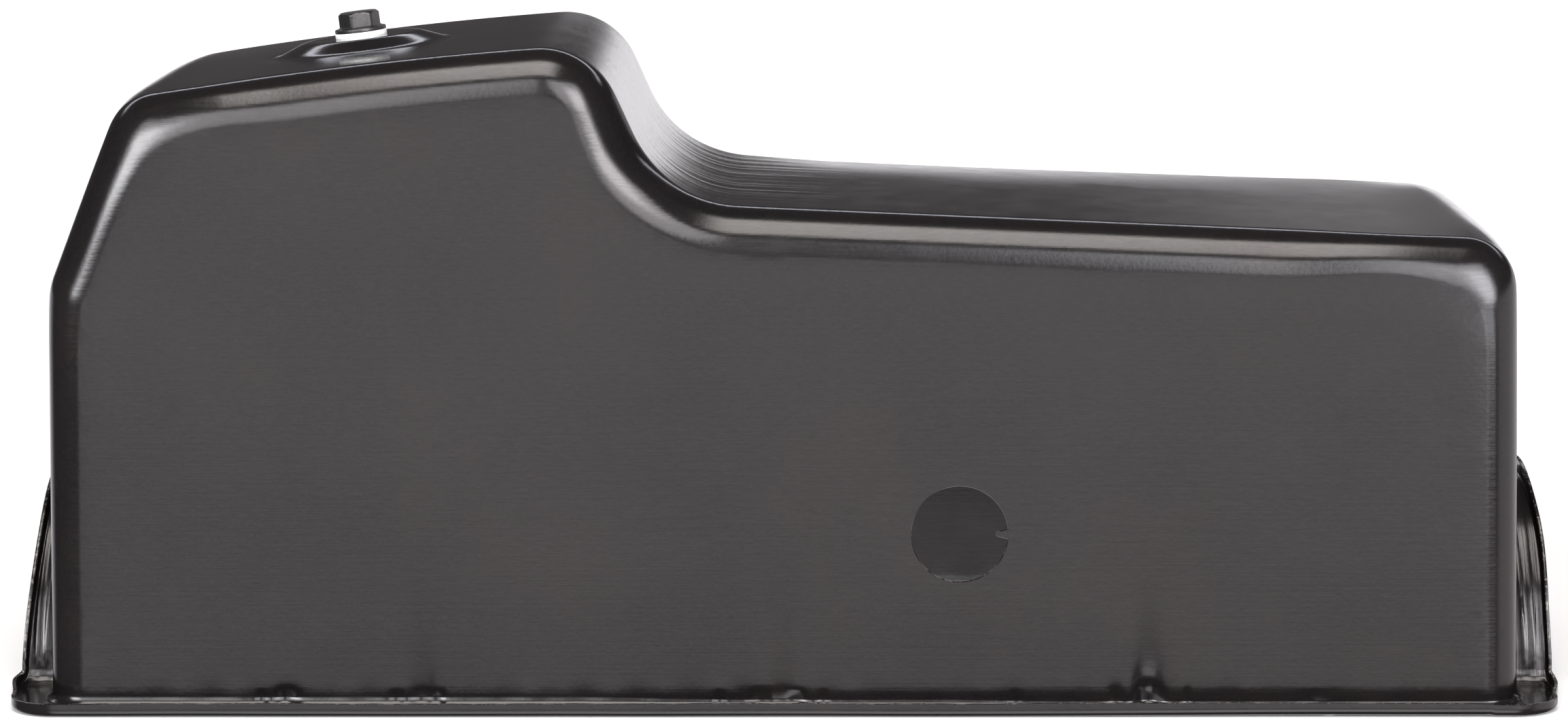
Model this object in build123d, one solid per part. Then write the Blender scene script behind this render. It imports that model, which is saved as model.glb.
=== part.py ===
from build123d import *
import math
import os

# Sheet-steel engine oil pan, lying open side down on its bolting rail.
# +Z is up out of the sump floor, +X runs along the pan towards its shallow end,
# the keyed side port is in the -Y wall. The origin is the centre of the rail's
# gasket face. All sizes are in millimetres, all angles in degrees.

SHEET_T = 1.5              # pan sheet thickness

# Rail (bolting flange) and its turned-up lip
RAIL_L = 652.0
RAIL_W = 280.0
RAIL_CORNER_R = 20.0
LIP_H = 5.5                # lip height from the gasket face
RAIL_BEND_R = 3.0          # outside bend between rail and lip
WALL_FOOT_R = 3.5          # bend between wall and rail, outside

# Long profile of the outer skin, from the deep end's foot over the sump,
# down the step and along the shallow floor
END_FOOT_X = 306.5
PROFILE = [                # X, Z, corner radius
    (-END_FOOT_X, 0.0, 0.0),
    (-304.7, 174.0, 26.0),     # deep end wall leans in from here
    (-274.5, 252.4, 22.0),     # sump floor corner
    (-169.6, 267.9, 1700.0),   # slight crown of the sump floor
    (-79.3, 275.0, 34.0),      # crest
    (-49.9, 209.1, 50.0),      # foot of the step
    (303.0, 194.1, 21.0),      # shallow end corner
    (END_FOOT_X, 0.0, 0.0),
]
STEP_FOOT, SHALLOW_END = 5, 6  # rows of PROFILE at the ends of the shallow floor
WALL_Y0 = 122.5            # half width of the body at the rail
WALL_LEAN = 0.025          # side wall draft, mm per mm of height
BODY_EDGE_R = 18.0         # outside radius all along the side wall's edge
INNER_LOW_Z = -4.0         # inner body starts here, to cut clear through the mouth

# Blocks that are trimmed to shape reach well past the pan
CLEAR_X = 400.0
CLEAR_Y = 160.0
CLEAR_Z = 320.0

# Half-round end arches, open under the end walls
ARCH_R = 80.0              # outer skin
ARCH_LIP_R = 85.0
ARCH_IN_X = 296.0          # arch starts here, inside the end wall
ARCH_LIP_X = 324.5         # the lip of the arch starts here
ARCH_CUT_X = (288.0, 340.0)

# Drain seat: a raised round pad in the sump floor
DRAIN_X = -183.6
DRAIN_Z = 265.25           # outer skin of the floor at the drain axis
DRAIN_TILT = 6.8           # axis leans towards -X
DRAIN = Location((DRAIN_X, 0, DRAIN_Z), (0, -DRAIN_TILT, 0))
SEAT_H = 4.8
SEAT_TOP_R = 25.5
SEAT_BASE_R = 37.0
SEAT_INNER_LESS = 0.3      # inner skin's cone is smaller in radius by this
SEAT_ROOT = -1.5           # cone bottoms, sunk below the floor to merge with it
SEAT_INNER_ROOT = -4.0
SEAT_BEND_R = 8.0
DRAIN_HOLE_R = 6.8

# Bolt-head relief flute in the foot of both side walls
FLUTE_X = 151.0
FLUTE_Y = 126.0
FLUTE_R = 8.0
FLUTE_TILT = 6.0           # axis leans inwards with height
FLUTE_LOW_Z = -20.0
FLUTE_L = 90.0             # cylinder lengths, outer and inner skin
FLUTE_INNER_L = 110.0
FLUTE_BOX = (60, 60, 70)   # limits the outer groove, standing on the rail

# Keyed side port
PORT_X = 72.6
PORT_Z = 73.4
PORT_R = 20.0
PORT_CUT_Y = -120.0        # middle of the cutter
PORT_CUT_L = 40.0
KEY_LEN = 4.8
KEY_BASE = 3.9
KEY_TIP = 1.5
KEY_Y = -145.0             # key block, longer than the cutter
KEY_BLOCK_L = 50.0

# Bolt holes, both sides of the rail
BOLT_Y = 131.0
BOLT_R = 4.3
BOLT_PITCH = 75
BOLT_XS = [BOLT_PITCH * i for i in range(-4, 5)]

# Drain plug, gasket and weld nut; the 1/2-20 thread is a plain running shank
THREAD_R = 6.35            # nut bore
NUT_AF = 19.05             # across flats
NUT_H = 8.7
NUT_FACE_LESS = 0.2        # chamfered face radius is under the flats by this
NUT_RIM_MORE = 2.6         # chamfer cone reaches this far past the flats
NUT_CHAMFER_H = 1.6
GASKET_OD = 22.2
GASKET_T = 2.2
GASKET_ID_R = 6.45
GASKET_CHAMFER = 0.25
SHANK_R = 6.30
SHANK_L = 19.0
SHANK_TIP_LESS = 1.6       # tip taper, in radius and length
SHANK_TIP_L = 2.0
HEAD_FLANGE_D = 22.2
HEAD_FLANGE_T = 2.0
FLANGE_RIM_SHARE = 0.55    # straight part of the flange's thickness
FLANGE_TAPER = 1.2
HEX_AF = 15.9
HEX_H = 6.6
HEX_TURN = 11.0            # where the hex stops when tight
HEX_SUNK = 0.2             # overlap of hex and flange
CROWN_R = 12.0             # cone that rounds off the hex corners
CROWN_H = 1.9
CROWN_TOP_LESS = 0.4

# Anti-slosh baffle over the sump and its two brackets, X in the pan's frame
BAFFLE_T = 1.2
BAFFLE_X0 = -268.0
BAFFLE_X1 = 24.0
BAFFLE_HALF_W = 97.0
BAFFLE_CORNER_R = 14.0
END_FLANGE_DEPTH = 10.0
END_FLANGE_INSET = 16.0
PICKUP_X = -172.0          # pickup opening
PICKUP_L = 118.0
PICKUP_W = 104.0
PICKUP_CORNER_R = 22.0
COLLAR_DEPTH = 8.0
BRACKET_X = -236.0
BRACKET_W = 34.0
BRACKET_LEG_Y = 74.0       # inner end of the leg
BRACKET_TAB_Y = 100.0      # inner limit of the tab along the wall
BRACKET_TAB_DEPTH = 26.0
BRACKET_OUT_Y = WALL_Y0 + 5.0

# Baffle holes and slots, (x, y) of their centres in the baffle's frame
ROUND_HOLE_R = 8.0
ROUND_HOLES = [(98, -62), (98, 62), (98, 0), (-78, -70), (-78, 70)]
SLOT_L = 66.0
SLOT_W = 12.0
SLOT_CORNER_R = 5.9
SLOTS = [(8, -76), (8, 76)]

BASE_ALIGN = (Align.CENTER, Align.CENTER, Align.MIN)


# ---------------------------------------------------------- general helpers
def polygon_face(points):
    return Face(Wire.make_polygon(points, close=True))


def revolved(points):
    """Solid of revolution from (radius, height) points about Z."""
    return Solid.revolve(polygon_face([(r, 0, h) for r, h in points]), 360, Axis.Z)


def hex_prism(across_flats, z0, height, turn):
    corner_r = across_flats / math.sqrt(3)
    angles = [math.radians(60 * i + turn) for i in range(6)]
    points = [(corner_r * math.cos(a), corner_r * math.sin(a), z0) for a in angles]
    return Solid.extrude(polygon_face(points), Vector(0, 0, height))


def box_between(low, high):
    size = [b - a for a, b in zip(low, high)]
    return Box(*size, align=(Align.MIN,) * 3).moved(Location(low))


def cyl_along_x(radius, x_a, x_b):
    x0, x1 = sorted((x_a, x_b))
    cylinder = Cylinder(radius, x1 - x0, align=BASE_ALIGN).rotate(Axis.Y, 90)
    return cylinder.moved(Location((x0, 0, 0)))


def plate(x, y, length, width, corner_r, z0, z1):
    outline = fillet(Rectangle(length, width).vertices(), corner_r)
    return extrude(outline, z1 - z0).moved(Location((x, y, z0)))


def edge_ends(edge):
    return edge.start_point(), edge.end_point()


def ends_at_z(edge, z):
    return all(abs(p.Z - z) <= 0.02 for p in edge_ends(edge))


def ends_within(edge, x_limit, y_limit):
    return all(abs(p.X) < x_limit and abs(p.Y) < y_limit for p in edge_ends(edge))


# ------------------------------------------------------------- drawn body
def offset_profile(inset, z_low):
    """Corners of PROFILE moved inwards by `inset`, ends taken to z_low."""
    lines = []                                 # point and unit direction
    for (x0, z0, _), (x1, z1, _) in zip(PROFILE[:-1], PROFILE[1:]):
        length = math.hypot(x1 - x0, z1 - z0)
        ux, uz = (x1 - x0) / length, (z1 - z0) / length
        # the right-hand side of the path is inside
        lines.append((x0 + uz * inset, z0 - ux * inset, ux, uz))

    def end_corner(line):
        x, z, ux, uz = line
        return (x + ux * (z_low - z) / uz, z_low, 0.0)

    corners = [end_corner(lines[0])]
    for before, after, (_, _, radius) in zip(lines[:-1], lines[1:], PROFILE[1:-1]):
        ax, az, aux, auz = before
        bx, bz, bux, buz = after
        turn = aux * buz - auz * bux           # negative at an outward corner
        s = ((bx - ax) * buz - (bz - az) * bux) / turn
        new_radius = radius + (-inset if turn < 0 else inset)
        corners.append((ax + aux * s, az + auz * s, new_radius))
    corners.append(end_corner(lines[-1]))
    return corners


def rounded_face_xz(corners):
    """Face in the XZ plane from corners (x, z, radius)."""
    points = [Vector(x, 0, z) for x, z, _ in corners]
    count = len(points)
    bends = []                                 # start, middle and end of each bend
    for i, (_, _, radius) in enumerate(corners):
        corner = points[i]
        if radius <= 0:
            bends.append((corner, None, corner))
            continue
        back = (points[i - 1] - corner).normalized()
        ahead = (points[(i + 1) % count] - corner).normalized()
        half_angle = math.acos(back.dot(ahead)) / 2
        tangent = radius / math.tan(half_angle)
        reach = radius / math.sin(half_angle) - radius
        middle = corner + (back + ahead).normalized() * reach
        bends.append((corner + back * tangent, middle, corner + ahead * tangent))
    edges = []
    for i, (start, middle, end) in enumerate(bends):
        if middle is not None:
            edges.append(Edge.make_three_point_arc(start, middle, end))
        edges.append(Edge.make_line(end, bends[(i + 1) % count][0]))
    return Face(Wire(edges))


def wedge(inset, z_low):
    """Block between the two leaning side walls, moved inwards by `inset`."""
    y_inset = inset * math.hypot(1.0, WALL_LEAN)
    y_low = WALL_Y0 - WALL_LEAN * z_low - y_inset
    y_high = WALL_Y0 - WALL_LEAN * CLEAR_Z - y_inset
    section = polygon_face([
        (-CLEAR_X, -y_low, z_low), (-CLEAR_X, y_low, z_low),
        (-CLEAR_X, y_high, CLEAR_Z), (-CLEAR_X, -y_high, CLEAR_Z),
    ])
    return Solid.extrude(section, Vector(2 * CLEAR_X, 0, 0))


def body(inset, z_low):
    """Drawn body: long profile between the leaning walls, edges rounded."""
    face = rounded_face_xz(offset_profile(inset, z_low))
    prism = Solid.extrude(face, Vector(0, 2 * CLEAR_Y, 0)).moved(Location((0, -CLEAR_Y, 0)))
    block = prism & wedge(inset, z_low)
    rim = [e for e in block.edges() if abs(e.center().Y) > 90 and not ends_at_z(e, z_low)]
    return fillet(rim, BODY_EDGE_R - inset)


# -------------------------------------------------------------------- shell
def tray_block(inset):
    """Rail outline with its bottom edge rounded, `inset` in and up."""
    block = plate(0, 0, RAIL_L - 2 * inset, RAIL_W - 2 * inset,
                  RAIL_CORNER_R - inset, inset, inset + LIP_H)
    bottom = [e for e in block.edges() if abs(e.center().Z - inset) < 0.01]
    return fillet(bottom, RAIL_BEND_R - inset)


def arch(side):
    """Half-round arch with its lip; side is -1 or 1 along X."""
    half_space = box_between((-CLEAR_X, -200, 0), (CLEAR_X, 200, 200))
    end_x = side * RAIL_L / 2
    tube = cyl_along_x(ARCH_R, side * ARCH_IN_X, end_x) & half_space
    lip = cyl_along_x(ARCH_LIP_R, side * ARCH_LIP_X, end_x) & half_space
    return tube + lip


def is_foot_edge(edge):
    """Edges where wall or arch stands on the rail's upper face."""
    if not ends_at_z(edge, SHEET_T):
        return False
    on_arch = all(abs(math.hypot(p.Y, p.Z) - ARCH_R) < 0.02 for p in edge_ends(edge))
    return (ends_within(edge, END_FOOT_X + 0.5, WALL_Y0 + 0.5)
            or (on_arch and edge.geom_type == GeomType.LINE))


def seat_cone(top_r, top_h, root_h):
    """Cone of the drain seat, its slope shared by both skins."""
    spread = (SEAT_BASE_R - SEAT_TOP_R) / SEAT_H
    root_r = top_r + (top_h - root_h) * spread
    return revolved([(0, root_h), (root_r, root_h), (top_r, top_h), (0, top_h)]).moved(DRAIN)


def round_seat(shape, radius, height):
    """Round the edges that run round the drain axis near radius and height."""
    found = []
    for edge in shape.edges():
        samples = [(DRAIN.inverse() * Location(edge.position_at(u))).position
                   for u in (0.0, 0.31, 0.62)]
        if all(abs(math.hypot(p.X, p.Y) - radius) < 1.2 and abs(p.Z - height) < 0.6
               for p in samples):
            found.append(edge)
    return fillet(found, SEAT_BEND_R)


def flute_cylinder(side, radius, length):
    cylinder = Cylinder(radius, length, align=BASE_ALIGN).moved(Location((0, 0, FLUTE_LOW_Z)))
    return cylinder.moved(Location((FLUTE_X, side * FLUTE_Y, 0), (-side * FLUTE_TILT, 0, 0)))


def port_cutter():
    """Round port less the tapered key that points into it from the +X side."""
    port = Cylinder(PORT_R, PORT_CUT_L).rotate(Axis.X, 90)
    port = port.moved(Location((PORT_X, PORT_CUT_Y, PORT_Z)))
    base_x = PORT_X + PORT_R + 1
    tip_x = PORT_X + PORT_R - KEY_LEN
    key = polygon_face([
        (base_x, KEY_Y, PORT_Z - KEY_BASE / 2), (tip_x, KEY_Y, PORT_Z - KEY_TIP / 2),
        (tip_x, KEY_Y, PORT_Z + KEY_TIP / 2), (base_x, KEY_Y, PORT_Z + KEY_BASE / 2),
    ])
    return port - Solid.extrude(key, Vector(0, KEY_BLOCK_L, 0))


def make_shell():
    outer = body(0.0, 0.0)
    inner = body(SHEET_T, INNER_LOW_Z)
    rail = tray_block(0) - tray_block(SHEET_T)
    outer = outer + rail + (arch(-1) + arch(1))
    outer = fillet([e for e in outer.edges() if is_foot_edge(e)], WALL_FOOT_R)

    # drain seat, raised out of the floor on both skins
    inner_top_r = SEAT_TOP_R - SEAT_INNER_LESS
    inner_top_h = SEAT_H - SHEET_T
    outer = outer + seat_cone(SEAT_TOP_R, SEAT_H, SEAT_ROOT)
    inner = inner + seat_cone(inner_top_r, inner_top_h, SEAT_INNER_ROOT)
    outer = round_seat(outer, SEAT_BASE_R, 0.0)
    outer = round_seat(outer, SEAT_TOP_R, SEAT_H)
    inner = round_seat(inner, SEAT_BASE_R - SEAT_INNER_LESS, -SHEET_T)
    inner = round_seat(inner, inner_top_r, inner_top_h)

    # flutes pressed into the feet of both side walls
    for side in (-1, 1):
        limit = Box(*FLUTE_BOX, align=BASE_ALIGN)
        limit = limit.moved(Location((FLUTE_X, side * FLUTE_Y, SHEET_T)))
        outer = outer - (flute_cylinder(side, FLUTE_R, FLUTE_L) & limit)
        inner = inner - flute_cylinder(side, FLUTE_R + SHEET_T, FLUTE_INNER_L)

    shell = outer - inner
    for side in (-1, 1):
        shell = shell - cyl_along_x(ARCH_R - SHEET_T, *(side * x for x in ARCH_CUT_X))

    # inside of the bends at the open side, round the body and over the arches
    mouth = [e for e in shell.edges()
             if ends_at_z(e, 0) and ends_within(e, END_FOOT_X, WALL_Y0)]
    shell = fillet(mouth, WALL_FOOT_R + SHEET_T)

    shell = shell - Cylinder(DRAIN_HOLE_R, 40).moved(DRAIN)
    shell = shell - port_cutter()
    for x in BOLT_XS:
        for y in (-BOLT_Y, BOLT_Y):
            shell = shell - Cylinder(BOLT_R, 20).moved(Location((x, y, 0)))
    solids = shell.solids()
    return solids[0] if len(solids) == 1 else shell


# --------------------- drain parts, built with z = 0 on the seat's outer face
def make_nut():
    """Weld nut against the inner skin, chamfered on its free face."""
    low = -SHEET_T - NUT_H
    flat_r = NUT_AF / 2
    envelope = revolved([
        (0, low), (flat_r - NUT_FACE_LESS, low), (flat_r + NUT_RIM_MORE, low + NUT_CHAMFER_H),
        (flat_r + NUT_RIM_MORE, -SHEET_T), (0, -SHEET_T),
    ])
    return (hex_prism(NUT_AF, low, NUT_H, 0.0) & envelope) - Cylinder(THREAD_R, 60)


def make_gasket():
    rim_r = GASKET_OD / 2
    face_r = rim_r - GASKET_CHAMFER
    return revolved([
        (GASKET_ID_R, 0), (face_r, 0), (rim_r, GASKET_CHAMFER),
        (rim_r, GASKET_T - GASKET_CHAMFER), (face_r, GASKET_T), (GASKET_ID_R, GASKET_T),
    ])


def make_plug():
    base = GASKET_T
    flange_top = base + HEAD_FLANGE_T
    top = flange_top + HEX_H
    tip = base - SHANK_L
    flange_r = HEAD_FLANGE_D / 2
    shank = revolved([
        (0, tip), (SHANK_R - SHANK_TIP_LESS, tip), (SHANK_R, tip + SHANK_TIP_L),
        (SHANK_R, base), (0, base),
    ])
    flange = revolved([
        (0, base), (flange_r, base), (flange_r, base + HEAD_FLANGE_T * FLANGE_RIM_SHARE),
        (flange_r - FLANGE_TAPER, flange_top), (0, flange_top),
    ])
    head = hex_prism(HEX_AF, flange_top - HEX_SUNK, HEX_H + HEX_SUNK, HEX_TURN)
    crown = revolved([
        (0, base), (CROWN_R, base), (CROWN_R, top - CROWN_H),
        (HEX_AF / 2 - CROWN_TOP_LESS, top), (0, top),
    ])
    return shank + flange + (head & crown)


# ------------------------------------------------------- baffle and brackets
# Baffle frame: x along the line of the shallow floor's inner skin, z outwards,
# origin on that line at PICKUP_X.
inner_corners = offset_profile(SHEET_T, INNER_LOW_Z)
floor_x, floor_z, _ = inner_corners[STEP_FOOT]
floor_end_x, floor_end_z, _ = inner_corners[SHALLOW_END]
FLOOR_SLOPE = math.atan2(floor_end_z - floor_z, floor_end_x - floor_x)
BAFFLE_Z = floor_z + (PICKUP_X - floor_x) * math.tan(FLOOR_SLOPE)
BAFFLE = Location((PICKUP_X, 0, BAFFLE_Z), (0, -math.degrees(FLOOR_SLOPE), 0))


def baffle_x(x):
    """The pan's X as a distance along the baffle."""
    return (x - PICKUP_X) / math.cos(FLOOR_SLOPE)


def make_baffle():
    x0, x1 = baffle_x(BAFFLE_X0), baffle_x(BAFFLE_X1)
    sheet = plate((x0 + x1) / 2, 0, x1 - x0, 2 * BAFFLE_HALF_W, BAFFLE_CORNER_R, -BAFFLE_T, 0)
    # -X end turned over towards the rail, and a collar round the pickup opening
    flange_y = BAFFLE_HALF_W - END_FLANGE_INSET
    end_flange = box_between((x0, -flange_y, -END_FLANGE_DEPTH),
                             (x0 + BAFFLE_T, flange_y, -BAFFLE_T / 2))
    collar = plate(0, 0, PICKUP_L + 2 * BAFFLE_T, PICKUP_W + 2 * BAFFLE_T,
                   PICKUP_CORNER_R + BAFFLE_T, -COLLAR_DEPTH, -BAFFLE_T / 2)
    baffle = sheet + end_flange + collar
    baffle = baffle - plate(0, 0, PICKUP_L, PICKUP_W, PICKUP_CORNER_R, -20, 10)
    for x, y in ROUND_HOLES:
        baffle = baffle - Cylinder(ROUND_HOLE_R, 20).moved(Location((x, y, 0)))
    for x, y in SLOTS:
        baffle = baffle - plate(x, y, SLOT_L, SLOT_W, SLOT_CORNER_R, -10, 10)
    return baffle.moved(BAFFLE)


def make_bracket(side):
    """Leg under the baffle with a tab down the side wall; side is -1 or 1 along Y."""
    middle = baffle_x(BRACKET_X)

    def block(y_in, z0, z1):
        y0, y1 = sorted((side * y_in, side * BRACKET_OUT_Y))
        return box_between((middle - BRACKET_W / 2, y0, z0),
                           (middle + BRACKET_W / 2, y1, z1)).moved(BAFFLE)

    inside = wedge(SHEET_T, INNER_LOW_Z)
    wall_layer = inside - wedge(SHEET_T + BAFFLE_T, INNER_LOW_Z)
    leg = block(BRACKET_LEG_Y, -2 * BAFFLE_T, -BAFFLE_T) & inside
    tab = wall_layer & block(BRACKET_TAB_Y, -BRACKET_TAB_DEPTH, -BAFFLE_T)
    return (leg + tab).solids()[0]


# ------------------------------------------------------------------- export
os.makedirs("parts", exist_ok=True)
seat_face = DRAIN * Location((0, 0, SEAT_H))
export_step(make_shell(), "parts/pan_shell.step")
export_step(make_nut().moved(seat_face), "parts/drain_weld_nut.step")
export_step(make_gasket().moved(seat_face), "parts/drain_plug_gasket.step")
export_step(make_plug().moved(seat_face), "parts/drain_plug.step")
export_step(make_baffle(), "parts/sump_baffle.step")
brackets = Compound(children=[make_bracket(side) for side in (-1, 1)])
export_step(brackets, "parts/baffle_brackets.step")
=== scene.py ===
# Black steel oil pan, lying rail down with its sump up.
# X runs along the pan (deep end at -X), Y across it (front at -Y, towards the camera), Z up.
# The rail's underside is at z = 0. Lengths are in mm; the meshes are made in metres.
# The sheet is built as one outer skin, then given an inner skin and rounded rims.
import math
import bpy
import numpy as np
from mathutils import Vector, Matrix, noise
from mathutils.geometry import delaunay_2d_cdt


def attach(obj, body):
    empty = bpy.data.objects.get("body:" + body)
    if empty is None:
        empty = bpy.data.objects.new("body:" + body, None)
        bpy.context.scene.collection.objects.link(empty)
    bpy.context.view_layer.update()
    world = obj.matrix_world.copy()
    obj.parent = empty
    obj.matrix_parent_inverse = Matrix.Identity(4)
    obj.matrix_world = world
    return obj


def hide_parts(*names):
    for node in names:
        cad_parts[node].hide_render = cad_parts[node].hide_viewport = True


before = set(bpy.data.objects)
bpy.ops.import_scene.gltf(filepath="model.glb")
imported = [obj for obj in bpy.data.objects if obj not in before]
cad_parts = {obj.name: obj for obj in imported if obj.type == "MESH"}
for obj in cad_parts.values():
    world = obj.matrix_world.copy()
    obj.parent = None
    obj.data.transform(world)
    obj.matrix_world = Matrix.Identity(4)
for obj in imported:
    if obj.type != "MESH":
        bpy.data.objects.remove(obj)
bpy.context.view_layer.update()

MM = 0.001

# ---- Driving sizes (mm)
THICK = 1.5                        # sheet
END_X = 306.5                      # end walls at z = 0
END_TOPS = {-1: (304.7, 174.0), 1: (303.0, 194.1)}   # |x|, z at the top of each end wall
# corners of the long profile: x, z, bend radius
PROFILE = [
    (-END_X, 0.0, 0.0), (-304.7, 174.0, 26.0), (-274.5, 252.4, 22.0), (-169.6, 267.9, 1700.0),
    (-79.3, 275.0, 34.0), (-49.9, 209.1, 50.0), (303.0, 194.1, 21.0), (END_X, 0.0, 0.0),
]
WALL_Y0, LEAN = 122.5, 0.025       # side wall: |y| at z = 0, and its draft
WALL_COS = 1 / math.hypot(1, LEAN)
SHALLOW_Z = 185                    # both floors lie above this
STEP_X = -40                       # the shallow floor starts here

SEAT_X, SEAT_Z = -183.6, 265.25    # raised round seat of the drain plug
SEAT_TILT = math.radians(6.8)
SEAT_RISE, SEAT_TOP_R, SEAT_BASE_R = 4.8, 24.8, 37.0
SEAT_HOLE_R = 6.9
SEAT_HALF = 47.0                   # half size of the patch that holds the seat

PORT_X, PORT_Z, PORT_R = 72.6, 73.4, 20.0    # round port in the front wall
BOLT_XS = range(-225, 226, 75)
BOLT_Y, BOLT_HOLE_R = 131.0, 4.5

SKIRT_H = 6.0                      # height of the skirt's first row above the rail
SKIRT_Z = THICK + SKIRT_H
FOOT_BEND_R = 3.8                  # wall to rail, outer skin
LIP_BEND_R = 1.3                   # rail to lip, outer skin
PANEL_TOP = 150.0                  # top of the end wall patches

RIM_CORNER = (301.6, 120.0)        # centre of the rim's corner
RIM_R = 20.0
LIP_Y = RIM_CORNER[1] + (RIM_R - THICK)      # lip's inner face on the long sides

ARCH_R, ARCH_FOOT_R = 80.0, 6.5    # arch in each end of the rail, and the bend at its foot
ARCH_FOOT_Y = math.sqrt((ARCH_R + ARCH_FOOT_R) ** 2 - (THICK + ARCH_FOOT_R) ** 2)
ARCH_START = math.atan2(THICK + ARCH_FOOT_R, ARCH_FOOT_Y)

EDGE_STEPS = 20                    # round each edge bend
ACROSS_STEPS = 28                  # between the edge bends
FOOT_STEPS, FLAT_STEPS, LIP_BEND_STEPS, LIP_STEPS = 9, 14, 6, 3
FLAT_START = 1 + FOOT_STEPS        # section rows where the rail's flat starts and ends
FLAT_END = FLAT_START + FLAT_STEPS

# Dents in the side walls by side: x, fade height, half width, depth (+ goes inwards)
DENTS = {
    -1: [(151.3, 46, 5.4, 3.5), (137.6, 12, 2.6, 0.7), (167.4, 9, 1.4, 0.5),
         (-1.0, 44, 4.6, 1.1), (-9.5, 9, 4.5, 1.0), (5.0, 8, 3.6, 1.1),
         (-150.2, 48, 5.0, 1.2), (-143.5, 8, 2.2, 0.6), (-207.0, 10, 4.6, 1.3),
         (-161.0, 7, 2.8, 0.5), (-27.0, 7, 2.4, 0.4), (96.0, 7, 2.2, 0.25),
         (220.0, 7, 6.0, 0.3), (16.0, 6, 2.0, 0.5), (-217.0, 6, 2.4, 0.5)],
    1: [(151.3, 44, 5.4, 3.1), (-150.0, 34, 4.8, 0.9), (0.0, 26, 4.5, 0.8),
        (-75.0, 8, 2.5, 0.7), (-226.0, 9, 4.0, 1.2), (228.0, 8, 3.0, 0.6)],
}


# ---- Small helpers
def smooth(t):
    t = min(1.0, max(0.0, t))
    return t * t * (3 - 2 * t)


def bell(distance, width):
    return math.exp(-(distance / width) ** 2)


def wobble(x, y=0.0, z=0.0):
    """Deterministic smooth noise, about -1..1."""
    return noise.noise(Vector((x, y, z)))


def blur(values, spacing, sigma, reach):
    """Gaussian average of evenly spaced values, over reach samples either way."""
    offsets = np.arange(-reach, reach + 1) * spacing
    kernel = np.exp(-0.5 * (offsets / sigma) ** 2)
    kernel /= kernel.sum()
    return np.convolve(np.pad(values, reach, mode="edge"), kernel, mode="valid")


def circle(centre, radius, count, shift=0.0):
    angles = [2 * math.pi * (k + shift) / count for k in range(count)]
    return [(centre[0] + radius * math.cos(a), centre[1] + radius * math.sin(a)) for a in angles]


def perimeter(a0, a1, b0, b1):
    """Index pairs round a grid block, once round, along a first."""
    return ([(a, b0) for a in range(a0, a1 + 1)]
            + [(a1, b) for b in range(b0 + 1, b1 + 1)]
            + [(a, b1) for a in range(a1 - 1, a0 - 1, -1)]
            + [(a0, b) for b in range(b1 - 1, b0, -1)])


def inside(points, outline):
    """Even-odd test of each point against a closed outline."""
    u, v = points[:, 0], points[:, 1]
    result = np.zeros(len(points), bool)
    for (u0, v0), (u1, v1) in zip(outline, np.roll(outline, -1, axis=0)):
        crosses = (v0 > v) != (v1 > v)
        if crosses.any():
            result ^= crosses & (u < (u1 - u0) * (v - v0) / (v1 - v0) + u0)
    return result


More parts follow.
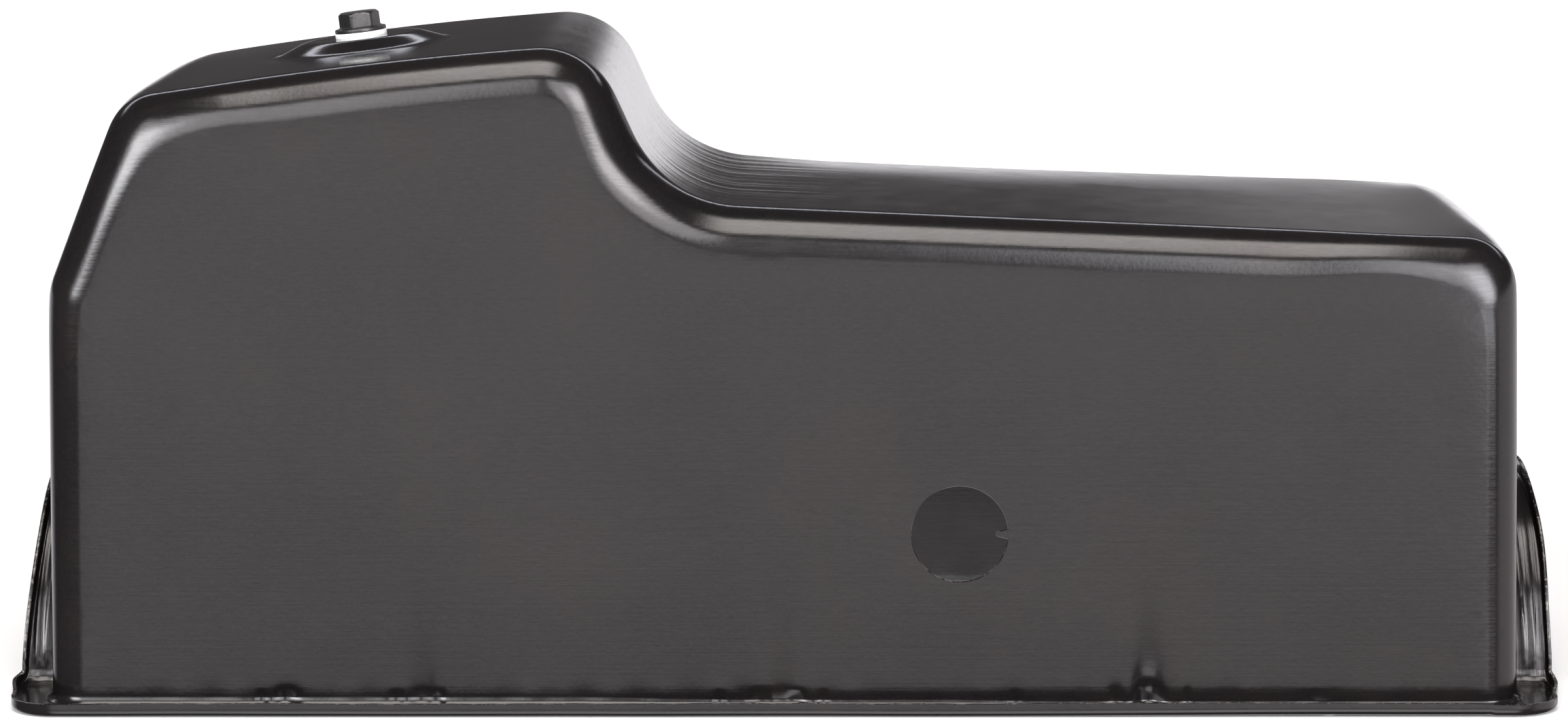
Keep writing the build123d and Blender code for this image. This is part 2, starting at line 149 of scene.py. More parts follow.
class Skin:
    """Points and faces of the sheet's outer skin."""

    def __init__(self):
        self.points = []
        self.faces = []

    def add(self, point):
        self.points.append(tuple(float(c) for c in point))
        return len(self.points) - 1

    def hole(self, outline, lift):
        """Adds an outline of (u, v) points; returns it as a loop for patch()."""
        return [(self.add(lift(*uv)), uv) for uv in outline]

    def strip(self, rows, flip=False):
        for near, far in zip(rows[:-1], rows[1:]):
            for i in range(len(near) - 1):
                quad = (near[i], near[i + 1], far[i + 1], far[i])
                self.faces.append(quad[::-1] if flip else quad)

    def patch(self, loops, inner, lift, flip=False):
        """Fills the area inside the first loop and outside the others.
        loops: lists of (point index, (u, v)); inner: extra (u, v) points; lift: (u, v) -> xyz."""
        flat, ids, edges = [], [], []
        for loop in loops:
            base = len(flat)
            for k, (index, uv) in enumerate(loop):
                flat.append(uv)
                ids.append(index)
                edges.append((base + k, base + (k + 1) % len(loop)))
        outlines = [np.array([uv for _, uv in loop]) for loop in loops]

        def filled(points):
            keep = inside(points, outlines[0])
            for hole in outlines[1:]:
                keep &= ~inside(points, hole)
            return keep

        inner = np.array(inner, float).reshape(-1, 2)
        for u, v in inner[filled(inner)]:
            flat.append((float(u), float(v)))
            ids.append(None)
        places, _, faces, origins = delaunay_2d_cdt(
            [Vector(uv) for uv in flat], edges, [], 0, 1e-7, True)[:4]
        index_of, uv_of = [], []
        for place, origin in zip(places, origins):
            index = next((ids[j] for j in origin if ids[j] is not None), None)
            uv = flat[origin[0]] if origin else (place[0], place[1])
            if index is None:
                index = self.add(lift(uv[0], uv[1]))
            index_of.append(index)
            uv_of.append(uv)
        triangles = np.array([[uv_of[i] for i in face] for face in faces], float)
        keep = filled(triangles.mean(1))
        side1 = triangles[:, 1] - triangles[:, 0]
        side2 = triangles[:, 2] - triangles[:, 0]
        area = np.abs(side1[:, 0] * side2[:, 1] - side1[:, 1] * side2[:, 0])

        # regions between the loops' edges; each is kept or dropped by its largest triangle
        walls = set()
        for loop in loops:
            for k in range(len(loop)):
                walls.add(frozenset((loop[k][0], loop[(k + 1) % len(loop)][0])))

        def face_edges(face):
            return [frozenset((index_of[face[k]], index_of[face[(k + 1) % 3]]))
                    for k in range(3)]

        by_edge = {}
        for t, face in enumerate(faces):
            for edge in face_edges(face):
                by_edge.setdefault(edge, []).append(t)
        seen = [False] * len(faces)
        for first in range(len(faces)):
            if seen[first]:
                continue
            seen[first] = True
            region, todo = [], [first]
            while todo:
                t = todo.pop()
                region.append(t)
                for edge in face_edges(faces[t]):
                    if edge in walls:
                        continue
                    for neighbour in by_edge[edge]:
                        if not seen[neighbour]:
                            seen[neighbour] = True
                            todo.append(neighbour)
            largest = max(region, key=lambda t: area[t])
            if not keep[largest] or area[largest] < 0.02:
                continue
            for t in region:
                face = [index_of[i] for i in faces[t]]
                if flip:
                    face = face[::-1]
                if len(set(face)) == 3:
                    self.faces.append(tuple(face))


# ---- Long profile
def trace_profile():
    """Softened long profile: arrays of length along it, x, z and heading."""
    spacing, softness = 0.25, 2.6
    pieces = []                        # heading, length

    def run(heading, turn, length):
        count = max(1, int(round(length / spacing)))
        for j in range(count):
            pieces.append((heading + turn * (j + 0.5) / count, length / count))

    def line(start, end):
        d = end - start
        run(math.atan2(d[1], d[0]), 0.0, np.linalg.norm(d))

    corners = [np.array(row[:2]) for row in PROFILE]
    start = corners[0]
    for i in range(1, len(corners) - 1):
        corner, radius = corners[i], PROFILE[i][2]
        back, ahead = corners[i - 1] - corner, corners[i + 1] - corner
        back = back / np.linalg.norm(back)
        ahead = ahead / np.linalg.norm(ahead)
        tangent = radius / math.tan(math.acos(np.dot(back, ahead)) / 2)
        line(start, corner + back * tangent)
        turn = math.atan2(-back[0] * ahead[1] + back[1] * ahead[0], -np.dot(back, ahead))
        run(math.atan2(-back[1], -back[0]), turn, abs(turn) * radius)
        start = corner + ahead * tangent
    line(start, corners[-1])

    heading, length = np.array(pieces).T
    heading = blur(heading, spacing, softness, reach=int(4 * softness / spacing))
    x = np.concatenate([[0], np.cumsum(length * np.cos(heading))]) + PROFILE[0][0]
    z = np.concatenate([[0], np.cumsum(length * np.sin(heading))]) + PROFILE[0][1]
    s = np.concatenate([[0], np.cumsum(length)])
    # the softening shifts the far end a little; spread that over the whole length
    x += (PROFILE[-1][0] - x[-1]) * s / s[-1]
    z += (PROFILE[-1][1] - z[-1]) * s / s[-1]
    middle = (heading[1:] + heading[:-1]) / 2
    return s, x, z, np.concatenate([[heading[0]], middle, [heading[-1]]])


PATH_S, PATH_X, PATH_Z, PATH_HEADING = trace_profile()
PEAK = int(np.argmax(PATH_Z))


def s_at_z_left(z):
    """Length along the profile where the left end wall reaches height z."""
    low = PATH_X[:PEAK] < -250
    return float(np.interp(z, PATH_Z[:PEAK][low], PATH_S[:PEAK][low]))


def s_at_z_right(z):
    low = PATH_X > 250
    return float(np.interp(-z, -PATH_Z[low], PATH_S[low]))


def s_at_x(x):
    """Length along the profile where the top reaches x."""
    high = PATH_Z > 150
    return float(np.interp(x, PATH_X[high], PATH_S[high]))


def path_at(s):
    """x, z and heading at length s; inwards is (sin, -cos) of the heading."""
    return tuple(float(np.interp(s, PATH_S, v)) for v in (PATH_X, PATH_Z, PATH_HEADING))


def near_x(s, x, width):
    """Bell weight round the place where the top reaches x."""
    return bell(s - s_at_x(x), width)


# ---- Shape of the drawn body
def wall_y(z):
    return WALL_Y0 - LEAN * z


def end_x(end, z):
    top_x, top_z = END_TOPS[end]
    return end * (END_X - (END_X - top_x) * z / top_z)


def edge_radius(s):
    """Outside radius between profile and side wall; fuller at the drawn corners."""
    left, right = s_at_x(-262), s_at_x(262)
    radius = 15.5 + 4.5 * (smooth((s - left) / 60.0) * smooth((right - s) / 60.0))
    radius += 3.6 * smooth((s - s_at_z_left(150)) / 40.0) * smooth((left - s) / 60.0)
    radius += 6.5 * near_x(s, -272, width=24.0)
    radius += 3.0 * near_x(s, -62, width=22.0)
    radius += 3.5 * near_x(s, 288, width=24.0)
    return radius


def soft_onset(s):
    """Slope (radians) and reach (mm) of the wall's slow roll into its edge bend."""
    left = near_x(s, -278, width=34.0)
    right = near_x(s, 290, width=30.0)
    step_foot = near_x(s, -52, width=30.0)
    up = smooth((s - s_at_z_left(12)) / 30.0) * smooth((s_at_z_right(12) - s) / 30.0)
    degrees = 2.5 + 2.6 * left + 2.6 * right + 0.5 * step_foot
    return math.radians(degrees) * up, 15.0 + 5.0 * left + 3.0 * right


def crown(x, z, f):
    """Departure of the two floors from flat, mm outwards; f is -1..1 across the pan."""
    if z < SHALLOW_Z:
        return 0.0
    # noise on the shallow and the deep floor: depth, scale along, scale across, seed
    depth, along, across, seed = (0.10, 0.016, 1.6, 4.0) if x > STEP_X else (0.12, 0.02, 1.5, 8.0)
    rise = 0.30 * (1 - f * f)
    rise += depth * wobble(x * along, f * across, seed) * (1 - f * f)
    return rise * smooth((z - SHALLOW_Z) / 10)


def sag(x, z, f):
    """The shallow floor falls away towards the back edge, most beside the step; mm inwards."""
    if z < SHALLOW_Z or x < STEP_X or f < 0.12:
        return 0.0
    depth = (smooth((x + 35) / 60) * (0.42 + 1.05 * (1 - smooth((x - 70) / 190)))
             * smooth((300 - x) / 30))
    g = (f - 0.12) / 0.88
    return depth * g * g * smooth((z - SHALLOW_Z) / 10)


def bulge(s, f):
    """The drawn corners stand fuller between the side walls."""
    rise = 1.7 * near_x(s, -277, width=15.0) + 2.3 * near_x(s, 295, width=17.0)
    return rise * (1 - abs(f) ** 5) * smooth((1 - abs(f)) / 0.05)


def dent(side, x, z):
    """Depth of the side wall's dents and unevenness, mm inwards."""
    total = 0.0
    for centre, height, half_width, depth in DENTS[side]:
        u = (x - centre) / half_width
        if abs(u) > 3.2:
            continue
        if height > 20:
            q = max(0.0, z - 2.0) / height
            fade = ((0.85 * math.exp(-q / 0.25) + 0.15 * math.exp(-q / 0.5))
                    * (1 - smooth(q - 0.6)))
        else:
            fade = (1 - smooth((z - 2.0) / height)) ** 1.4
        total += depth * fade * math.exp(-abs(u) ** 2.4)
    # the long panel is not perfectly flat
    panel = smooth((z - 12) / 40) * 0.16
    total += panel * wobble(x * 0.011 + 5.2 * side, z * 0.017, 3.1)
    # ragged foot line
    if z < 16:
        total += 0.22 * (1 - smooth((z - 3) / 13)) * wobble(x * 0.09, 2.0 * side, 9.0)
    return total


# ---- Ribs across the pan
S_START, S_END = s_at_z_left(SKIRT_Z), s_at_z_right(SKIRT_Z)
S_LEFT, S_RIGHT = s_at_z_left(PANEL_TOP), s_at_z_right(PANEL_TOP)
SEAT_S = s_at_x(SEAT_X)
SEAT_S0, SEAT_S1 = SEAT_S - SEAT_HALF, SEAT_S + SEAT_HALF


def rib_places():
    """Lengths along the profile of the ribs: closer where it bends, and on every mark."""
    marks = sorted([S_START, S_LEFT, SEAT_S0, SEAT_S1, S_RIGHT, S_END])
    places = [S_START]
    while places[-1] < S_END - 1e-6:
        here = places[-1]
        heading = path_at(here)[2]
        step = 0.5
        while step < 8.0 and abs(path_at(here + step)[2] - heading) < math.radians(2.1):
            step += 0.25
        mark = min(m for m in marks if m > here + 1e-6)
        if here + step > mark - 1.5:
            step = mark - here
        places.append(here + step)
    return places


def nearest_rib(s):
    return min(range(len(samples)), key=lambda i: abs(samples[i] - s))


def centre_curve():
    """Centre line of the edge bend; its corners are wider than a plain offset of the profile."""
    spacing = 0.5
    grid = np.arange(S_START - 120, S_END + 120, spacing)
    centres = []
    for s in grid:
        held = min(max(s, S_START), S_END)
        x, z, a = path_at(held)
        r = edge_radius(held)
        beyond = s - held
        centres.append((x + r * math.sin(a) + beyond * math.cos(a),
                        z - r * math.cos(a) + beyond * math.sin(a)))
    centres = np.array(centres)

    def widened(sigma):
        reach = int(115 / spacing)
        return np.stack([blur(centres[:, n], spacing, sigma, reach) for n in (0, 1)], 1)

    def weight(x):
        return np.array([smooth((60 - abs(s - s_at_x(x))) / 55.0) for s in grid])[:, None]

    left, right = weight(-276), weight(292)
    return grid, (centres * (1 - left - right) + widened(28.0) * left + widened(31.0) * right)


skin = Skin()
samples = rib_places()
LEFT_RIB, RIGHT_RIB = nearest_rib(S_LEFT), nearest_rib(S_RIGHT)
SEAT_RIB0, SEAT_RIB1 = nearest_rib(SEAT_S0), nearest_rib(SEAT_S1)
# places across the pan, -1..1, closer towards the edges
ACROSS = [math.sin(math.pi / 2 * (-1 + 2 * j / ACROSS_STEPS)) * 0.25
          + 0.75 * (-1 + 2 * j / ACROSS_STEPS) for j in range(ACROSS_STEPS + 1)]
CENTRE_S, CENTRE_XZ = centre_curve()
ribs = {-1: [], 1: []}                 # edge bends by side, from the profile to the wall
flats = []                             # rows between the two edge bends


def add_rib(s):
    x, z, a = path_at(s)
    inward = np.array([math.sin(a), 0, -math.cos(a)])
    r = edge_radius(s)
    cx = float(np.interp(s, CENTRE_S, CENTRE_XZ[:, 0]))
    cz = float(np.interp(s, CENTRE_S, CENTRE_XZ[:, 1]))
    slope, reach = soft_onset(s)
    drop = 0.5 * math.tan(slope) * reach
    outward = np.array([x - cx, 0, z - cz])
    out_r = float(np.linalg.norm(outward))
    edge_sag = sag(x, z, 1.0)
    # the bend stops where its slope meets the wall's draft plus the slow roll
    draft = math.atan(LEAN * outward[2] / out_r)
    end_angle = math.pi / 2 - math.atan(out_r * math.tan(draft + slope) / r)
    yc = wall_y(cz + outward[2] * math.cos(end_angle)) - drop - r * math.sin(end_angle)
    for side in (-1, 1):
        row = []
        for k in range(EDGE_STEPS + 1):
            th = end_angle * k / EDGE_STEPS
            p = np.array([cx, side * (yc + r * math.sin(th)), cz]) + outward * math.cos(th)
            if side > 0 and edge_sag > 0:
                t = k / EDGE_STEPS
                p += inward * (edge_sag * (1 - smooth(t))
                               + 2 * edge_sag / (0.88 * yc) * r * th * (1 - t) ** 2)
            row.append(skin.add(p))
        ribs[side].append(row)
    row = [ribs[-1][-1][0]]
    for f in ACROSS[1:-1]:
        rise = crown(x, z, f) * smooth((1 - abs(f)) / 0.06) + bulge(s, f) - sag(x, z, f)
        point = (x - inward[0] * rise, f * yc, z - inward[2] * rise)
        row.append(skin.add(point) if S_LEFT <= s <= S_RIGHT else None)
    row.append(ribs[1][-1][0])
    flats.append(row)


for s in samples:
    add_rib(s)
for side in (-1, 1):
    skin.strip(ribs[side], flip=(side > 0))
SEAT_COL0 = max(j for j, f in enumerate(ACROSS) if f * 95 < -SEAT_HALF + 2)
SEAT_COL1 = ACROSS_STEPS - SEAT_COL0
for i in range(LEFT_RIB, RIGHT_RIB):
    pair = flats[i:i + 2]
    if SEAT_RIB0 <= i < SEAT_RIB1:
        skin.strip([row[:SEAT_COL0 + 1] for row in pair], flip=True)
        skin.strip([row[SEAT_COL1:] for row in pair], flip=True)
    else:
        skin.strip(pair, flip=True)


# ---- Drain seat
def seat_height(r):
    """Raised round seat with soft bends and a faint second step."""
    def soft_ramp(v, softness=1.25):
        u = v / softness
        return softness * (u * 0.5 * (1 + math.erf(u / math.sqrt(2)))
                           + math.exp(-0.5 * u * u) / math.sqrt(2 * math.pi))
    height = (SEAT_RISE / (SEAT_BASE_R - SEAT_TOP_R)
              * (soft_ramp(SEAT_BASE_R - r) - soft_ramp(SEAT_TOP_R - r)))
    height -= 0.10 * bell(r - 40.5, 2.0)
    return height


def seat_lift(s, y):
    x, z, a = path_at(s)
    f = y / (wall_y(z - 20) - 20)
    rise = crown(x, z, f) * smooth((1 - abs(f)) / 0.06)
    # the drain axis leans with the floor, so distance is measured along the floor
    r = math.hypot(s - SEAT_S, y)
    height = seat_height(r)
    rise *= smooth((r - 20) / 22)
    return (x - math.sin(a) * (rise + height), y, z + math.cos(a) * (rise + height))


def seat_patch():
    loop = []
    for j, i in perimeter(SEAT_COL0, SEAT_COL1, SEAT_RIB0, SEAT_RIB1):
        index = flats[i][j]
        loop.append((index, (samples[i], skin.points[index][1])))
    count = 96
    hole = skin.hole(circle((SEAT_S, 0.0), SEAT_HOLE_R, count), seat_lift)
    half_y = abs(skin.points[flats[SEAT_RIB0][SEAT_COL1]][1])
    radii = [8.0, 10, 12.5, 15.5, 18.5, 21]
    r = 22.2
    while r < 43.0:
        radii.append(r)
        r += 0.85
    radii += [44.4]
    inner = []
    for q, r in enumerate(radii):
        for u, v in circle((SEAT_S, 0.0), r, count, shift=0.5 * (q % 2)):
            if abs(u - SEAT_S) < 45.4 and abs(v) < half_y - 1.2:
                inner.append((u, v))
    for u in np.arange(SEAT_S0 + 4, SEAT_S1 - 2, 5.0):
        for v in np.arange(-44, 45, 5.0):
            if math.hypot(u - SEAT_S, v) > 48 and abs(v) < half_y - 2:
                inner.append((u, v))
    skin.patch([loop, hole], inner, seat_lift)


seat_patch()


# ---- Stations round the foot: each carries one section of bend, rail and lip
def arch_angles():
    """Stations from the flat up to the arch's apex: (kind, angle) pairs."""
    foot, arc = 10, 40
    return ([("foot", (math.pi / 2 - ARCH_START) * i / foot) for i in range(foot + 1)]
            + [("arc", ARCH_START + (math.pi / 2 - ARCH_START) * i / arc)
               for i in range(1, arc + 1)])


def arch_point(kind, angle, side):
    """(y, z) point and outward normal on the outer skin's arch line."""
    if kind == "foot":
        # the foot bend's centre is above the rail; angle 0 has its normal along +z
        normal = np.array([math.sin(angle), math.cos(angle)])
        point = np.array([ARCH_FOOT_Y, THICK + ARCH_FOOT_R]) - ARCH_FOOT_R * normal
    else:
        normal = np.array([math.cos(angle), math.sin(angle)])
        point = ARCH_R * normal
    mirror = np.array([side, 1])
    return point * mirror, normal * mirror


def rim_x(y, z, end=-1):
    """Reach of the lip's outer face at the pan's ends."""
    if z < 6:
        return RIM_CORNER[0] + RIM_R + 4.5 * smooth((121 - abs(y)) / 31.0)
    if end < 0:
        return 323.9 - 4.2 * smooth((z + 4) / 72.0)
    return 324.9 - 0.8 * smooth((z - 8) / 25.0) - 2.3 * smooth((z - 52) / 36.0)


# one quarter of the lip's inner face, from the long side to the end
rim_outline = [(0.0, LIP_Y)]
for degrees in range(90, -1, -2):
    a = math.radians(degrees)
    rim_outline.append((RIM_CORNER[0] + (RIM_R - THICK) * math.cos(a),
                        RIM_CORNER[1] + (RIM_R - THICK) * math.sin(a)))
rim_outline += [(rim_x(y, 0) - THICK, y) for y in np.arange(119, 80, -2.0)]


def rim_distance(cx, cy, dx, dy):
    """Distance from (cx, cy) along (dx, dy) to the lip's inner face; first quadrant."""
    hits = []
    for (ax, ay), (bx, by) in zip(rim_outline[:-1], rim_outline[1:]):
        ex, ey = bx - ax, by - ay
        det = dx * (-ey) + dy * ex
        if abs(det) < 1e-12:
            continue
        t = ((ax - cx) * (-ey) + (ay - cy) * ex) / det
        u = (dx * (ay - cy) - dy * (ax - cx)) / det
        if t > 0 and -1e-9 <= u <= 1 + 1e-9:
            hits.append(t)
    return min(hits)


def lip_height(x, y, z=0, arch=False):
    """Height of the lip over the rail; lower towards the front right, and uneven."""
    base = 4.15 if not arch else 4.6
    if y < 0 and not arch:
        base -= 0.75 * smooth((x - 120) / 170)
    uneven = (0.28 * wobble(x * 0.021, y * 0.03, z * 0.02)
              + 0.16 * wobble(x * 0.11, y * 0.12, 4 + z * 0.1)
              + 0.09 * wobble(x * 0.53, y * 0.5, 7 + z * 0.4))
    return base + uneven


def rail_lift(x, side):
    """Rise of the rail's outer edge along a long side."""
    if side < 0:
        return 0.9 * smooth((x - 60) / 190) + 0.15 * wobble(x * 0.02, 1.5)
    return 0.25 * wobble(x * 0.015, 8.5)


stations = []


def add_station(top, base, out, normal, width, lip, end=0, lift=0.0):
    """top: index of the wall point above; base: foot point, from which the rail runs along out
    for width and the lip rises along normal; end: -1 or 1 at the pan's ends."""
    base, out, normal = (np.array(v, float) for v in (base, out, normal))
    stations.append((top, base, out, normal, width, lip, end, lift))


def side_xs(side):
    """Station places along a long side, closer at the dents."""
    first = skin.points[ribs[side][0][-1]][0]
    last = skin.points[ribs[side][-1][-1]][0]
    xs = [first]
    while xs[-1] < last - 1e-6:
        here, step = xs[-1], 2.6
        for centre, _, half_width, _ in DENTS[side]:
            if abs(here - centre) < 2.6 * half_width + 4:
                step = min(step, max(0.7, half_width * 0.28))
        xs.append(last if here + step > last - 1.0 else here + step)
    return xs


def side_station(side, x, top):
    base_dent = 0.0
    if top is None:
        top = skin.add((x, side * (wall_y(SKIRT_Z) - dent(side, x, SKIRT_Z)), SKIRT_Z))
        base_dent = dent(side, x, 2.5)
    y = side * (wall_y(THICK) - base_dent)
    add_station(top, (x, y, THICK), (0, side, 0), (0, 0, 1), LIP_Y - abs(y),
                lip_height(x, side * 138), lift=rail_lift(x, side))
    return top


def add_side(side):
    """Stations along a long side; returns their top points and their range."""
    xs = side_xs(side)
    shared = {xs[0]: ribs[side][0][-1], xs[-1]: ribs[side][-1][-1]}
    first = len(stations)
    tops = [side_station(side, x, shared.get(x)) for x in (xs if side < 0 else xs[::-1])]
    return tops, (first, len(stations) - 1)


def add_corner(side, end):
    """Stations round one corner, under the first or last rib's edge bend."""
    s, rib = (S_START, ribs[side][0]) if end < 0 else (S_END, ribs[side][-1])
    x, z, a = path_at(s)
    r = edge_radius(s)
    cx, cz = x + r * math.sin(a), z - r * math.cos(a)
    cy = side * (wall_y(cz) - r / WALL_COS)
    order = range(EDGE_STEPS)
    for k in (order if side * end > 0 else reversed(order)):
        top = np.array(skin.points[rib[k]])
        out = np.array([top[0] - cx, top[1] - cy])
        out /= np.linalg.norm(out)
        t = k / EDGE_STEPS
        lean = LEAN * t + 0.014 * (1 - t)
        out = np.array([out[0], out[1], 0])
        base = np.array([top[0], top[1], THICK]) + out * lean * SKIRT_H
        width = rim_distance(abs(base[0]), abs(base[1]), abs(out[0]), abs(out[1]))
        lip = lip_height(base[0] + out[0] * width, base[1] + out[1] * width)
        add_station(rib[k], base, out, (0, 0, 1), width, lip, lift=rail_lift(top[0], side) * 0.5)


def add_end(end):
    """Stations from one corner over the arch to the other; returns their top points."""
    tops = []

    def flat(side, y):
        top = skin.add((end_x(end, SKIRT_Z), side * y, SKIRT_Z))
        x = end_x(end, THICK)
        add_station(top, (x, side * y, THICK), (end, 0, 0), (0, 0, 1),
                    rim_x(y, 0) - THICK - abs(x), lip_height(end * 322, side * y) + 0.25, end)
        tops.append(top)

    def curved(side, kind, angle):
        p, n = arch_point(kind, angle, side)
        above = p + n * SKIRT_H
        top = skin.add((end_x(end, above[1]), above[0], above[1]))
        x = end_x(end, p[1])
        lip = lip_height(end * 322, p[0], p[1], arch=True)
        if kind == "arc":
            reach = rim_x(p[0], max(p[1], 6.1), end)
        else:
            k = smooth(angle / 1.45)
            reach = rim_x(p[0], 0, end) * (1 - k) + rim_x(0, 8, end) * k
            lip *= 0.9
        add_station(top, (x, p[0], p[1]), (end, 0, 0), (0, n[0], n[1]),
                    reach - THICK - abs(x), lip, end)
        tops.append(top)

    side = -end
    start_y = abs(skin.points[ribs[side][0 if end < 0 else -1][0]][1])
    flat_steps = 7
    ys = [start_y + (ARCH_FOOT_Y - start_y) * i / flat_steps for i in range(1, flat_steps)]
    half = arch_angles()
    for y in ys:
        flat(side, y)
    for kind, angle in half:
        curved(side, kind, angle)
    for kind, angle in reversed(half[:-1]):
        curved(-side, kind, angle)
    for y in reversed(ys):
        flat(-side, y)
    return tops


# once round the pan, from the front left corner
front_tops, front_range = add_side(-1)
add_corner(-1, 1)
right_tops = add_end(1)
add_corner(1, 1)
back_tops, back_range = add_side(1)
add_corner(1, -1)
left_tops = add_end(-1)
add_corner(-1, -1)


# ---- Skirt: foot bend, rail and lip
def ridge(b, base, end):
    """Draw ridges that run round the arches, b mm out from the wall; mm along the normal."""
    _, y, z = base
    fade = smooth((z - 7) / 7) * (1 - 0.75 * smooth((z - 42) / 26))
    wander = 1.2 * wobble(y * 0.02, z * 0.03, 5 + end)
    height = 0.85 * bell(b - 7.4 - wander, 1.25)
    height += (1.15 * bell(b - 11.4 - 0.8 * wander, 1.35)
               * (0.75 + 0.35 * wobble(z * 0.09, y * 0.05, 3)))
    height += 0.3 * wobble(b * 0.8, z * 0.035 + y * 0.02, 2 + end)
    return height * fade * (0.8 + 0.3 * wobble(z * 0.05, y * 0.04, 11))


def section_outline(bend, width, lip):
    """(outwards, along the normal) points from the wall across the rail and up the lip."""
    outline = []
    for k in range(FOOT_STEPS + 1):
        a = math.pi / 2 * k / FOOT_STEPS
        outline.append((bend - bend * math.cos(a), bend - bend * math.sin(a)))
    for k in range(1, FLAT_STEPS + 1):
        outline.append((bend + (width - LIP_BEND_R - bend) * k / FLAT_STEPS, 0.0))
    for k in range(1, LIP_BEND_STEPS + 1):
        a = math.pi / 2 * k / LIP_BEND_STEPS
        outline.append((width - LIP_BEND_R + LIP_BEND_R * math.sin(a),
                        LIP_BEND_R - LIP_BEND_R * math.cos(a)))
    for k in range(1, LIP_STEPS + 1):
        outline.append((width - 0.11 * k / LIP_STEPS,
                        LIP_BEND_R + (lip - LIP_BEND_R) * k / LIP_STEPS))
    return outline


def add_section(top, base, out, normal, width, lip, end, lift):
    row = [top]
    bend = FOOT_BEND_R
    if base[1] < -115:                 # the front's foot bend tightens to the right
        bend -= 1.2 * smooth((base[0] + 90) / 80.0) + 0.7 * smooth((base[0] - 60) / 60.0)
    ridge_start, ridge_end = FOOT_BEND_R * 0.9, width - LIP_BEND_R * 0.6
    for b, n in section_outline(bend, width, lip):
        n += lift * (max(0.0, b) / width) ** 2
        if end and 0.5 < base[2] < 16 and b > 1.0:
            # uneven sheet at the foot of the arch
            n += (0.55 * wobble(base[1] * 0.33, base[2] * 0.4, b * 0.24)
                  * smooth((base[2] - 1.5) / 3.0) * smooth((16 - base[2]) / 6.0)
                  * smooth((width - b) / 3.0))
        if end and ridge_start < b < ridge_end:
            n += (ridge(b, base, end) * smooth((b - ridge_start) / 1.5)
                  * smooth((ridge_end - b) / 1.2))
        row.append(skin.add(base + out * b + normal * n))
    return row


sections = [add_section(*station) for station in stations]
for i, row in enumerate(sections):
    pair = [row, sections[(i + 1) % len(sections)]]
    if any(first <= i < last for first, last in (front_range, back_range)):
        # the rail's flat is left open for the patch with the bolt holes
        skin.strip([r[:FLAT_START + 1] for r in pair])
        skin.strip([r[FLAT_END:] for r in pair])
    else:
        skin.strip(pair)


def rail_patch(station_range, side):
    """Flat of the rail along a long side, with its bolt holes."""
    loop = []
    for i, r in perimeter(*station_range, FLAT_START, FLAT_END):
        index = sections[i][r]
        loop.append((index, skin.points[index][:2]))

    def lift(x, y):
        out = abs(y) - wall_y(THICK)
        rise = rail_lift(x, side) * (max(0.0, out) / (LIP_Y - wall_y(THICK))) ** 2
        return (x, y, THICK + rise)

    holes = [skin.hole(circle((bolt_x, side * BOLT_Y), BOLT_HOLE_R, 32), lift)
             for bolt_x in BOLT_XS]
    inner = []
    for x in np.arange(-286, 287, 4.0):
        for y in (128.6, 131.0, 133.6):
            if min(abs(x - bolt_x) for bolt_x in BOLT_XS) > 7.5:
                inner.append((float(x), side * y))
    skin.patch([loop] + holes, inner, lift)


rail_patch(front_range, -1)
rail_patch(back_range, 1)

# ---- Side walls
# key tab in the port's right edge, lower half: depth from the edge, half width
TAB = [(1.2, 1.62), (2.6, 1.28), (3.9, 1.0), (4.75, 0.72), (5.0, 0.35)]
TAB_TIP = (5.05, 0.0)
TAB_ROOT_WIDTH = 3.9
# rows of inner points: used below z, row height, x step, shift of odd rows, gap to the border
PANEL_ROWS = [(20, 1.7, 1.7 * 1.25, 1.7 * 0.5, 3), (44, 2.6, 2.6 * 1.25, 2.6 * 0.5, 3),
              (66, 4.0, 4.0 * 1.25, 4.0 * 0.5, 3), (262, 6.2, 7.0, 3.5, 4.5)]


def port_outline():
    """Port anticlockwise from above its tab, then the tab, pointing to the middle."""
    r = PORT_R + 0.25
    half = math.asin(TAB_ROOT_WIDTH / 2 / r)
    count = 76
    outline = []
    for k in range(count + 1):
        a = half + (2 * math.pi - 2 * half) * k / count
        outline.append((PORT_X + r * math.cos(a), PORT_Z + r * math.sin(a)))
    for depth, width in TAB + [TAB_TIP] + [(d, -w) for d, w in reversed(TAB)]:
        outline.append((PORT_X + r - depth, PORT_Z - width))
    return outline


